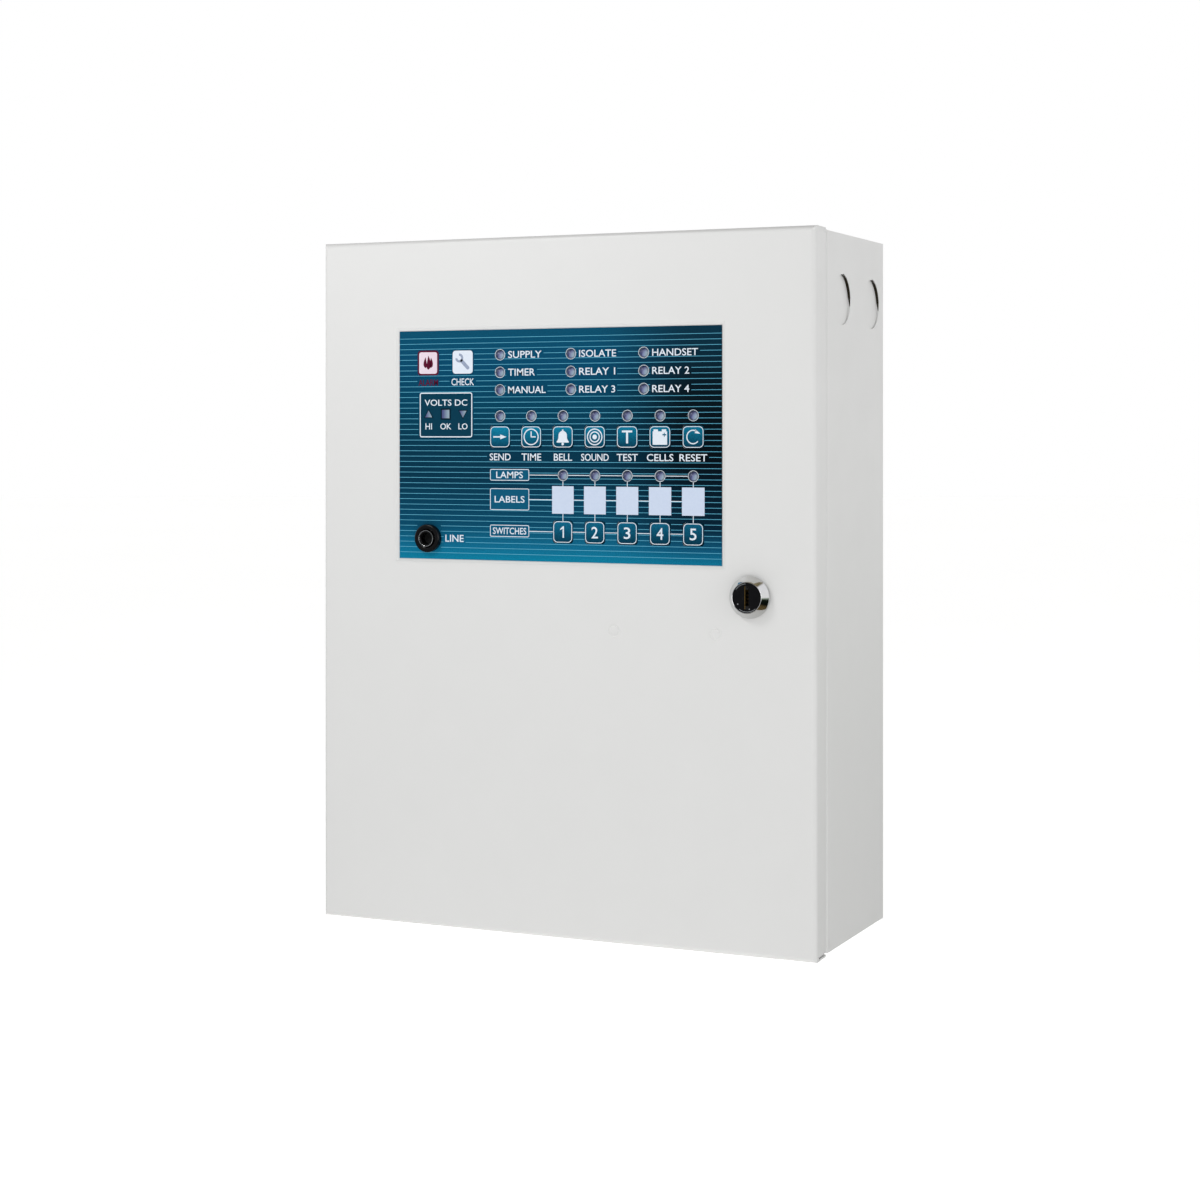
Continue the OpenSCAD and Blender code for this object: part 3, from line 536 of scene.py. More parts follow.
def circuit_board(name, code, track, axis_mm):
    """Glass epoxy board under solder mask: tracks show through as paler bars that change direction."""
    def tracks(tree, place):
        flat = add(tree, "ShaderNodeMapping", {"Vector": place, "Scale": (1, 0, 1)}).outputs["Vector"]
        cells = add(tree, "ShaderNodeTexVoronoi", {"Vector": flat, "Scale": 1 / (11 * MM)},
                    distance="CHEBYCHEV")
        axes = add(tree, "ShaderNodeSeparateXYZ", {"Vector": flat})
        choice = add(tree, "ShaderNodeSeparateColor", {"Color": cells.outputs["Color"]})
        upright = add(tree, "ShaderNodeMath", {0: choice.outputs["Red"], 1: 0.5}, operation="GREATER_THAN")
        along = add(tree, "ShaderNodeMix", {0: upright.outputs["Value"], 2: axes.outputs["X"],
                                            3: axes.outputs["Z"]})
        bars = add(tree, "ShaderNodeMath", {0: along.outputs[0], 1: axis_mm * MM}, operation="WRAP")
        bars.inputs[2].default_value = 0.0
        lines = add(tree, "ShaderNodeMath", {0: bars.outputs["Value"], 1: 0.36 * axis_mm * MM},
                    operation="LESS_THAN")
        filled = add(tree, "ShaderNodeMath", {0: choice.outputs["Green"], 1: 0.3}, operation="GREATER_THAN")
        shown = add(tree, "ShaderNodeMath", {0: lines.outputs["Value"], 1: filled.outputs["Value"]},
                    operation="MULTIPLY")
        mixed = add(tree, "ShaderNodeMix", {0: shown.outputs["Value"], 6: linear(code), 7: linear(track)},
                    data_type="RGBA")
        return speckled(tree, place, mixed.outputs[2], 1.2, 0.92, 1.08)

    return surface(name, None, roughness=(0.25, 0.38), grain_mm=0.4, relief_mm=0.004, pattern=tracks,
                   IOR=1.55)


def laminations():
    """Stack of varnished silicon steel sheets, half a millimetre each, seen on edge."""
    def sheets(tree, place):
        bands = add(tree, "ShaderNodeTexWave", {"Vector": place, "Scale": 1 / (1.6 * MM), "Distortion": 0.4,
                                                "Detail": 1.0}, wave_type="BANDS", bands_direction="Y")
        return add(tree, "ShaderNodeValToRGB", {"Fac": bands.outputs["Fac"]}, [
            (0.25, linear("#2b2724")), (0.8, linear("#6d675f"))]).outputs["Color"]

    return surface("varnished_laminations", None, roughness=(0.4, 0.6), grain_mm=0.3, relief_mm=0.02,
                   pattern=sheets, Metallic=0.6)


def winding_tape():
    """Polyester tape round a winding: glossy amber with the edges of its overlaps."""
    def wraps(tree, place):
        bands = add(tree, "ShaderNodeTexWave", {"Vector": place, "Scale": 1 / (18 * MM), "Distortion": 1.2,
                                                "Detail": 2.0}, bands_direction="Z", wave_profile="SAW")
        return add(tree, "ShaderNodeValToRGB", {"Fac": bands.outputs["Fac"]}, [
            (0.0, linear("#a48d40")), (0.92, linear("#c9b264")), (0.12, linear("#c1a956"))]).outputs["Color"]

    return surface("polyester_winding_tape", None, roughness=(0.2, 0.32), grain_mm=1.5, relief_mm=0.03,
                   pattern=wraps, IOR=1.6)


def pvc(name, code, second=None, stripe_mm=None):
    """Extruded PVC insulation: satin, with a spiral stripe on an earth bond."""
    def stripes(tree, place):
        bands = add(tree, "ShaderNodeTexWave", {"Vector": place, "Scale": 1 / (stripe_mm * MM)},
                    bands_direction="DIAGONAL")
        return add(tree, "ShaderNodeValToRGB", {"Fac": bands.outputs["Fac"]}, [
            (0.48, linear(code)), (0.52, linear(second))]).outputs["Color"]

    return surface(name, linear(code), linear(second or code), patch_mm=8, roughness=(0.35, 0.45),
                   grain_mm=0.8, relief_mm=0.006, pattern=stripes if stripe_mm else None, IOR=1.53)


def window_print(name, code, second):
    """Back-printed lamp window: milky, with the faint glow of the diffuser behind it."""
    return surface(name, linear(code), linear(second), patch_mm=6, roughness=(0.3, 0.4), grain_mm=0.4,
                   relief_mm=0.002, IOR=1.58, **{"Specular IOR Level": 0.2})


# ---- Door, overlay and keys ----

def door_planes():
    """Front of the door steel, front of the film, and front of the key caps, in millimetres."""
    return span("door_shell")[0], span("overlay_panel")[0], span("key_output")[0]


class FIREPANEL_OT_door(bpy.types.Operator):
    """Folded door pan with its pressed recess"""
    bl_idname = "fire_panel.door"
    bl_label = "Door"

    def execute(self, context):
        coat = powder_coat(context.scene.coat_and_ink.coat)
        front = door_planes()[0]
        at = middle("overlay_panel")
        low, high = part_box("overlay_panel")
        reach = ((high.x - low.x) / 2 / MM + 2, (high.z - low.z) / 2 / MM + 2)
        bm = bench_copy("door_shell")

        def on_lip(edge):
            spot = (edge.verts[0].co + edge.verts[1].co) / 2
            outer = max(abs(spot.x - at[0]) - reach[0], abs(spot.z - at[1]) - reach[1])
            return all(abs(v.co.y - front) < 0.01 for v in edge.verts) and abs(outer) < 0.5

        # The flange on the lock side draws in towards its rear edge, which bares the bend of the cabinet
        for vert in bm.verts:
            if vert.co.x > 147 and vert.co.y > span("door_shell")[1] - 1:
                vert.co.x -= 0.75
        ease(bm, 0.9, 4, 20.0, on_lip)
        ease(bm, 0.2, 2, 40.0)
        finish(bm, "door_pan", "door", coat, "powder_coat", "door_shell")

        # Upper corners of the pan, welded and dressed flush
        bm = bmesh.new()
        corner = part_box("door_shell")[1] / MM
        for side in (-1, 1):
            block(bm, (side * (corner.x - 0.6), corner.z - 1.7), (1.2, 1.2), front + 4, corner.y)
        finish(bm, "corner_welds", "door", coat, "powder_coat")

        # Faint rings where the studs for the relay board are welded on behind
        bm = bmesh.new()
        studs = [place_of(box) for box in solids("board_fixings") if box[1].z < 0 and box[0].z > -30]
        for spot in {(round(x, 1), round(z, 1)) for x, z in studs}:
            turned(bm, spot, [(2.1, front + 0.1), (2.7, front - 0.26), (2.9, front - 0.26),
                              (3.5, front + 0.1)], 32)
        finish(bm, "weld_marks", "door", coat, "powder_coat")
        return {"FINISHED"}


def caption_rows():
    """Every caption as (text, place, width, anchor), worked out from the lamps and keys that it names."""
    lamps = [place_of(box) for box in solids("indicator_leds")]
    status = sorted(lamps[:9], key=lambda p: (-round(p[1]), p[0]))
    names = [("SUPPLY", 20.5), ("ISOLATE", 22.0), ("HANDSET", 26.5),
             ("TIMER", 16.5), ("RELAY 1", 21.5), ("RELAY 2", 21.5),
             ("MANUAL", 23.0), ("RELAY 3", 21.5), ("RELAY 4", 21.5)]
    rows = [(text, shifted(at, 5.0), width, 0.0) for at, (text, width) in zip(status, names)]
    keys = [("key_output", "SEND", 13.0), ("key_delay", "TIME", 12.0), ("key_bell", "BELL", 11.0),
            ("key_buzzer", "SOUND", 16.5), ("key_test", "TEST", 12.4), ("key_battery_test", "CELLS", 15.5),
            ("key_reset", "RESET", 16.0)]
    rows += [(text, shifted(middle(node), 0, -11.1), width, 0.5) for node, text, width in keys]
    rows.append(("CHECK", shifted(middle("fault_window"), 0, -11.0), 14.2, 0.5))
    rows.append(("LINE", shifted(middle("phone_jack_nut"), 10.4, 0.2), 11.5, 0.0))
    return rows


def print_layout():
    """Places of the frames on the overlay, each (place, size), by name."""
    meter = middle("voltmeter_lamps")
    first_key = middle("key_zone_1")[1]
    left = -30.0
    return {
        "meter": (shifted(meter, 0.05, -0.5), (33.2, 25.1)),
        "lamps": ((left, lamp_row()), (24.1, 6.4)),
        "labels": ((left, middle("zone_name_labels")[1]), (24.1, 12.0)),
        "switches": ((left, first_key), (24.1, 6.6)),
    }


def lamp_row():
    """Height of the row of zone lamps."""
    return place_of(solids("indicator_leds")[-1])[1]


def stretches(left, right, blocks):
    """What is left of a line from left to right once the blocked stretches are taken out."""
    free = [(left, right)]
    for start, end in blocks:
        free = [piece for a, b in free for piece in ((a, min(b, start)), (max(a, end), b))
                if piece[1] - piece[0] > 0.5]
    return free


def blocked(z, rows, frames):
    """Stretches of the line at height z that a caption, lamp, key, label or frame keeps clear."""
    found = []

    def box(at, size, spare=0.0):
        if abs(z - at[1]) < size[1] / 2 + (0.2 if spare else 0.0):
            found.append((at[0] - size[0] / 2 - spare, at[0] + size[0] / 2 + spare))

    for _, at, width, anchor in rows:
        box(shifted(at, (0.5 - anchor) * width), (width, 4.0), 1.2)
    for lamp in solids("indicator_leds"):
        at = place_of(lamp)
        if abs(z - at[1]) < 3.2:
            half = math.sqrt(3.2 ** 2 - (z - at[1]) ** 2)
            found.append((at[0] - half, at[0] + half))
    for name, (at, size) in frames.items():
        box(at, size, 0.9 if name == "meter" else 0.0)
    for node in KEY_SYMBOLS:
        box(middle(node), (12.6, 12.2))
    for label in solids("zone_name_labels"):
        box(place_of(label), (13.0, 15.1))
    for node in ("fire_window", "fault_window"):
        box(middle(node), (13.4, 13.4), 0.3)
    box(shifted(middle("fire_window"), 0, -11.0), (12.0, 3.6), 1.0)
    # The captions of the function keys share one clear band
    first, last = middle("key_output"), middle("key_reset")
    box(((first[0] + last[0]) / 2, first[1] - 11.1), (last[0] - first[0] + 14.0, 4.0), 1.2)
    box(middle("phone_jack_nut"), (15.0, 15.0))
    return found


def fine_lines(sizes, rows, frames, y):
    """Fine lines across the overlay, stopped short of whatever is printed over them."""
    low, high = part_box("overlay_panel")
    bm = bmesh.new()
    pitch = sizes.line_pitch / MM
    z = high.z / MM - 4.3
    while z > low.z / MM + 1:
        for a, b in stretches(low.x / MM, high.x / MM, blocked(z, rows, frames)):
            flat_plate(bm, ((a + b) / 2, z), (b - a, sizes.line_width / MM), y)
        z -= pitch
    thicken(bm, -0.6 * sizes.ink / MM)
    return bm


def connectors(bm, frames, y, width):
    """Lines that join each zone's lamp, label and key, and each row to its name."""
    lamps = [place_of(box) for box in solids("indicator_leds")[-5:]]
    labels = [place_of(box) for box in solids("zone_name_labels")]
    keys = [middle(f"key_zone_{i}") for i in range(1, 6)]
    rows = [("lamps", lamps, 3.3), ("labels", labels, 6.5), ("switches", keys, 5.8)]
    for name, spots, half in rows:
        at, size = frames[name]
        stops = [at[0] + size[0] / 2 - half] + [spot[0] for spot in spots]
        for a, b in zip(stops, stops[1:]):
            flat_plate(bm, ((a + b) / 2, spots[0][1]), (b - a - 2 * half, width), y)
    for lamp, label, key in zip(lamps, labels, keys):
        for top, foot in ((lamp[1] - 3.3, label[1] + 7.55), (label[1] - 7.55, key[1] + 5.95)):
            flat_plate(bm, (key[0], (top + foot) / 2), (width, top - foot), y)


class FIREPANEL_OT_overlay(bpy.types.Operator):
    """Printed overlay in the recess: film, fine lines, frames and captions"""
    bl_idname = "fire_panel.overlay"
    bl_label = "Overlay"

    def execute(self, context):
        colours = context.scene.coat_and_ink
        sizes = context.scene.print_sizes
        film = overlay_film(colours)
        front = door_planes()[1]
        thick = sizes.ink / MM
        width = sizes.frame_width / MM
        dress_copy("overlay_panel", "overlay_film", "door", film, "overlay_film", 0.08, 1)
        rows = caption_rows()
        frames = print_layout()
        finish(fine_lines(sizes, rows, frames, front), "overlay_lines", "door",
               ink("pale_blue_screen_ink", colours.line_ink), "overlay_film")

        fills = bmesh.new()
        for name in ("lamps", "labels", "switches"):
            flat_plate(fills, *frames[name], front, 0.9)
        thicken(fills, -0.5 * thick)
        finish(fills, "overlay_row_fills", "door", ink("blue_green_screen_ink", linear("#0d5878")),
               "overlay_film")
        dark = bmesh.new()
        flat_plate(dark, *frames["meter"], front, 1.2)
        thicken(dark, -0.5 * thick)
        finish(dark, "overlay_meter_fill", "door", ink("deep_blue_screen_ink", linear("#053a50")),
               "overlay_film")

        white = bmesh.new()
        height = sizes.caption_height / MM
        for text, at, across, anchor in rows:
            lettering(white, text, at, front, height, across, anchor)
        meter, meter_size = frames["meter"]
        flat_frame(white, meter, meter_size, front, 0.6, 1.3)
        lettering(white, "VOLTS DC", shifted(meter, 0, 6.9), front, 3.5, 27.0)
        for text, lamp in zip(("HI", "OK", "LO"), solids("voltmeter_lamps")):
            lettering(white, text, shifted(place_of(lamp), 0, -6.9), front, 3.4)
        for name, text, across in (("lamps", "LAMPS", 16.5), ("labels", "LABELS", 18.5),
                                   ("switches", "SWITCHES", 20.6)):
            at, size = frames[name]
            flat_frame(white, at, size, front, width, 0.9)
            lettering(white, text, at, front, 3.7, across)
        for lamp in solids("indicator_leds"):
            flat_ring(white, place_of(lamp), 3.1, front, 0.27)
        connectors(white, frames, front, 0.4)
        thicken(white, -thick)
        finish(white, "overlay_white_print", "door", ink("white_screen_ink", colours.white_ink),
               "overlay_film")

        red = bmesh.new()
        lettering(red, "ALARM", shifted(middle("fire_window"), 0, -11.0), front, 3.6, 12.4)
        thicken(red, -thick)
        finish(red, "overlay_red_print", "door", ink("dark_red_screen_ink", colours.red_ink), "overlay_film")
        return {"FINISHED"}


def arrow_symbol(bm, at, y):
    """Arrow that points right"""
    flat_plate(bm, shifted(at, -1.9), (4.4, 0.75), y)
    flat_shape(bm, at, [(0.2, -1.35), (4.1, 0), (0.2, 1.35)], y)


def clock_symbol(bm, at, y):
    """Clock face with two hands"""
    flat_ring(bm, at, 4.6, y, 0.62, steps=40)
    flat_plate(bm, shifted(at, 0, 1.4), (0.62, 3.2), y)
    flat_plate(bm, shifted(at, 1.55, 0), (2.5, 0.62), y)


def bell_symbol(bm, at, y):
    """Bell with a flared lip and a clapper"""
    flare = [(2.5 + 1.0 * t ** 3, 0.9 - 3.3 * t) for t in (0, 0.35, 0.6, 0.8, 1)]
    arc = [math.radians(a) for a in range(15, 166, 15)]
    crown = [(2.5 * math.cos(a), 0.9 + 2.4 * math.sin(a)) for a in arc]
    flat_shape(bm, at, [(-x, z) for x, z in flare[::-1]][:-1] + [(-2.5, 0.9)] + crown[::-1] + flare, y)
    flat_plate(bm, shifted(at, 0, -2.75), (7.4, 0.7), y, 0.3)
    flat_plate(bm, shifted(at, 0, 3.6), (0.9, 0.9), y)
    flat_disc(bm, shifted(at, 0, -3.9), 0.75, y, 16)


def rings_symbol(bm, at, y):
    """Rings of sound round a dot"""
    flat_disc(bm, at, 1.3, y)
    for outer in (3.05, 4.6):
        flat_ring(bm, at, outer, y, 0.62, steps=40)


def letter_symbol(text, height, width):
    """Symbol that is one letter or numeral"""
    def draw(bm, at, y):
        lettering(bm, text, at, y, height, width)
    return draw


def one_symbol(bm, at, y):
    """Numeral one with a flag"""
    flat_shape(bm, at, [(0.75, 3.15), (0.15, 3.15), (-1.45, 1.75), (-1.45, 0.95), (-0.05, 1.9),
                        (-0.05, -3.15), (0.75, -3.15)], y)


def cell_symbol(bm, at, y):
    """Battery case with two terminals and a plus sign left clear"""
    for side in (-1, 1):
        flat_plate(bm, shifted(at, side * 2.4, 3.55), (2.6, 1.1), y)
    flat_plate(bm, shifted(at, 0, 2.65), (8.4, 0.7), y)
    flat_plate(bm, shifted(at, -1.35, 1.2), (5.7, 2.2), y)
    flat_plate(bm, shifted(at, 3.95, 1.2), (0.5, 2.2), y)
    flat_plate(bm, shifted(at, 0, -2.05), (8.4, 4.3), y)
    for x in (1.93, 3.27):
        for z in (0.46, 1.94):
            flat_plate(bm, shifted(at, x, z), (0.87, 0.75), y)


def turn_symbol(bm, at, y):
    """Open ring with an arrow head"""
    flat_ring(bm, at, 3.9, y, 0.6, 58, 262)
    flat_shape(bm, shifted(at, 1.85, 3.05), [(-0.6, 1.1), (2.3, -1.3), (-0.9, -1.0)], y)


KEY_SYMBOLS = {
    "key_output": arrow_symbol, "key_delay": clock_symbol, "key_bell": bell_symbol,
    "key_buzzer": rings_symbol, "key_test": letter_symbol("T", 7.0, 6.0), "key_battery_test": cell_symbol,
    "key_reset": turn_symbol, "key_zone_1": one_symbol,
    **{f"key_zone_{i}": letter_symbol(str(i), 6.3, 3.9) for i in range(2, 6)},
}


class FIREPANEL_OT_keys(bpy.types.Operator):
    """Seven function keys and five zone keys, each with its frame and symbol"""
    bl_idname = "fire_panel.keys"
    bl_label = "Keys"

    def execute(self, context):
        sizes = context.scene.print_sizes
        white = MADE["white_screen_ink"]
        faces = {
            "function": key_film("function_key_film", "key_output", "#127fa2", "#083f58"),
            "zone": key_film("zone_key_film", "key_zone_1", "#11688a", "#073a50"),
        }
        for node, symbol in KEY_SYMBOLS.items():
            at = middle(node)
            low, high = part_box(node)
            front, rear = span(node)
            flange = ((high.x - low.x) / MM, (high.z - low.z) / MM)
            cap = (flange[0] - 1.6, flange[1] - 1.6)
            collar = front + 2.3
            bm = bmesh.new()
            block(bm, at, cap, front, collar, 2.6)
            block(bm, at, flange, collar, collar + 1.2, 0.6)
            rod(bm, at, 3, 3, collar + 1.2, rear)
            ease(bm, 0.22, 3, 40.0)
            kind = "zone" if "zone" in node else "function"
            finish(bm, node.replace("key_", "cap_"), node, faces[kind], "overlay_film", node)
            bm = bmesh.new()
            flat_frame(bm, at, (cap[0] - 0.35, cap[1] - 0.35), front, sizes.frame_width / MM, 2.45)
            symbol(bm, at, front)
            thicken(bm, -sizes.ink / MM)
            finish(bm, node.replace("key_", "print_"), node, white, "overlay_film")
        return {"FINISHED"}


class FIREPANEL_OT_indicators(bpy.types.Operator):
    """Twenty-one domed indicators with their legs"""
    bl_idname = "fire_panel.indicators"
    bl_label = "Indicators"

    def execute(self, context):
        lenses, legs = bmesh.new(), bmesh.new()
        for low, high in solids("indicator_leds"):
            at = place_of((low, high))
            r = 2.5
            centre = low.y + r
            flange = high.y - 3.8
            dome = [(r * math.sin(math.radians(a)), centre - r * math.cos(math.radians(a)))
                    for a in range(0, 91, 10)]
            dome[0] = (0.0, low.y)
            turned(lenses, at, dome + [(r, flange), (2.9, flange), (2.9, flange + 1), (0.0, flange + 1)], 24)
            for side in (-1.27, 1.27):
                block(legs, shifted(at, side), (0.5, 0.5), flange + 1, high.y)
        finish(lenses, "indicator_lenses", "door", epoxy_lens(), "lamp_lens", "indicator_leds", smooth=50)
        finish(legs, "indicator_legs", "door", tin(), "zinc_plate")
        return {"FINISHED"}


def flame_symbol(bm, at, y):
    """Flame of three tongues"""
    for x, foot, width, height, lean in ((-1.55, -2.9, 1.5, 6.2, -0.35), (0.1, -3.8, 1.9, 8.0, 0.4),
                                         (1.8, -2.8, 1.4, 5.8, 0.35)):
        rise = [t / 8 for t in range(9)]
        right, left = [[(x + side * width * math.sqrt(t) * (1 - t) ** 1.1 + lean * math.sin(math.pi * t),
                         foot + height * t) for t in rise] for side in (1.9, -1.9)]
        flat_shape(bm, at, right + left[-2:0:-1], y)


def spanner_symbol(bm, at, y):
    """Open-ended spanner that runs from the upper left to the lower right"""
    flat_ring(bm, shifted(at, -2.1, 2.3), 2.5, y, 1.3, 185, 270, 24)
    flat_plate(bm, shifted(at, 1.35, -1.3), (7.2, 2.0), y, 0.9, -45)


class FIREPANEL_OT_windows(bpy.types.Operator):
    """Alarm and fault windows, and the three lamps of the voltage meter"""
    bl_idname = "fire_panel.windows"
    bl_label = "Windows"

    def execute(self, context):
        thick = context.scene.print_sizes.ink / MM
        film = MADE["printed_polycarbonate_overlay"]
        red = MADE["dark_red_screen_ink"]
        dress_copy("fire_window", "fire_lens", "door", film, "window_lens")
        dress_copy("fault_window", "fault_lens", "door", film, "window_lens")
        dress_copy("voltmeter_lamps", "meter_lenses", "door",
                   MADE["deep_blue_screen_ink"], "lamp_lens")
        front = span("fire_window")[0]

        def printed(name, material, draw, layer):
            bm = bmesh.new()
            draw(bm)
            thicken(bm, -thick * layer)
            finish(bm, name, "door", material, "window_lens")

        fire, fault = middle("fire_window"), middle("fault_window")
        pink = window_print("milky_pink_window", "#eadde7", "#dccbd9")
        milky = window_print("milky_white_window", "#e4eaf4", "#d4ddeb")
        grey = ink("grey_screen_ink", linear("#9aa5bd"))
        printed("fire_border", red, lambda bm: flat_plate(bm, fire, (13.2, 13.9), front, 1.9), 1)
        printed("fire_field", pink, lambda bm: flat_plate(bm, fire, (11.4, 12.1), front, 1.3), 2)
        printed("fire_flame", red, lambda bm: flame_symbol(bm, fire, front), 3)
        printed("fault_field", milky, lambda bm: flat_plate(bm, fault, (12.6, 12.9), front, 1.8), 2)
        printed("fault_spanner", grey, lambda bm: spanner_symbol(bm, fault, front), 3)

        lamps = [place_of(box) for box in solids("voltmeter_lamps")]
        triangle = [(2.3 * math.cos(a), 2.3 * math.sin(a)) for a in (math.radians(d) for d in (90, 210, 330))]

        def marks(scale):
            def draw(bm):
                for at, flip in ((lamps[0], 1), (lamps[2], -1)):
                    flat_shape(bm, shifted(at, 0, -0.5 * flip),
                               [(scale * x, scale * z * flip) for x, z in triangle][::flip], front)
                flat_plate(bm, lamps[1], (4.2 * scale, 4.2 * scale), front)
            return draw

        printed("meter_shadow_print", ink("black_screen_ink", linear("#04202e")), marks(1.5), 1)
        printed("meter_marks", epoxy_window(), marks(1.12), 2)
        return {"FINISHED"}


def epoxy_window():
    """Clear meter marks over an unlit diffuser: painted shade leaves each mark violet grey on its left, and a
    painted highlight makes it paler on its right.
    """
    marks = [place_of(box)[0] * MM for box in solids("voltmeter_lamps")]

    def fade(tree, place):
        # Painted light: across each mark the colour runs from painted shade on the left to a painted
        # highlight on the right
        axes = add(tree, "ShaderNodeSeparateXYZ", {"Vector": place})
        across = add(tree, "ShaderNodeMath", {0: axes.outputs["X"], 1: marks[0] - 0.0054},
                     operation="SUBTRACT")
        share = add(tree, "ShaderNodeMath", {0: across.outputs["Value"], 1: marks[1] - marks[0], 2: 0.0},
                    operation="WRAP")
        level = add(tree, "ShaderNodeMapRange", {"Value": share.outputs["Value"], "From Min": 0.0034,
                                                "From Max": 0.0074})
        return add(tree, "ShaderNodeValToRGB", {"Fac": level.outputs["Result"]}, [
            (0.1, linear("#4d5380")), (0.9, linear("#8da2b0"))]).outputs["Color"]

    return surface("clear_meter_window", None, roughness=(0.25, 0.35), grain_mm=0.5, relief_mm=0.002,
                   pattern=fade, **{"Specular IOR Level": 0.2})


class FIREPANEL_OT_labels(bpy.types.Operator):
    """Five blank cards for the names of the zones"""
    bl_idname = "fire_panel.labels"
    bl_label = "Zone labels"

    def execute(self, context):
        card = surface("coated_label_card", linear("#ccd7ea"), linear("#c2cfe5"), patch_mm=1.4,
                       roughness=(0.6, 0.75), grain_mm=0.2, relief_mm=0.004, **{"Specular IOR Level": 0.2})
        dress_copy("zone_name_labels", "zone_cards", "door", card, "label_card", 0.05, 1)
        return {"FINISHED"}


class FIREPANEL_OT_telephone(bpy.types.Operator):
    """Telephone socket with its barrel, rim, nut, rear case and solder lugs"""
    bl_idname = "fire_panel.telephone"
    bl_label = "Telephone socket"

    def execute(self, context):
        black = moulded("glossy_black_nylon", "#040405", "#0a0a0b", (0.14, 0.22), relief_mm=0.002,
                        **{"Specular IOR Level": 0.22})
        at = middle("phone_jack_nut")
        film = span("overlay_panel")[0]
        front, rear = span("phone_jack")
        case_front = span("door_shell")[0] + 2.7
        bm = bmesh.new()
        crests = [(4.5 - 0.22 * (i % 2), film - 2.6 + 0.35 * i) for i in range(18)]
        turned(bm, at, [(3.2, case_front), (3.2, front + 0.25), (3.45, front), (4.2, front)]
               + crests + [(4.5, case_front)], 48)
        finish(bm, "socket_barrel", "door", black, "jack_black")
        bm = bmesh.new()
        block(bm, at, (20, 22), case_front, rear, 1.0)
        ease(bm, 0.4, 2, 40)
        finish(bm, "socket_case", "door", black, "jack_black", "phone_jack")
        bm = bmesh.new()
        rod(bm, at, 3.15, 3.15, case_front - 1.2, case_front - 0.02)
        finish(bm, "socket_throat", "door", moulded("matt_black_nylon", "#050505", "#0a0a0a", (0.8, 0.9)),
               "jack_black")
        bm = bmesh.new()
        turned(bm, at, [(4.28, front + 0.04), (4.36, front), (4.48, front + 0.02), (4.55, front + 0.3),
                        (4.28, front + 0.3)], 48)
        finish(bm, "socket_rim", "door", chrome(), "jack_black")
        bm = bmesh.new()
        nut_front = span("phone_jack_nut")[0]
        crown = [(6.9 + 0.95 * math.sin(math.radians(a)), nut_front + 1.0 - 1.0 * math.cos(math.radians(a)))
                 for a in range(0, 91, 15)]
        turned(bm, at, [(4.6, film), (4.6, nut_front + 0.8), (5.2, nut_front + 0.15), (5.8, nut_front)]
               + crown + [(7.85, film)], 64)
        finish(bm, "socket_nut", "door", black, "jack_black", "phone_jack_nut", smooth=45)
        bm = bmesh.new()
        for dx, dz in ((-6, -7), (0, -7), (6, -7)):
            block(bm, shifted(at, dx, dz), (2.2, 0.5), rear, rear + 4)
        finish(bm, "socket_lugs", "door", tin(), "zinc_plate")
        return {"FINISHED"}


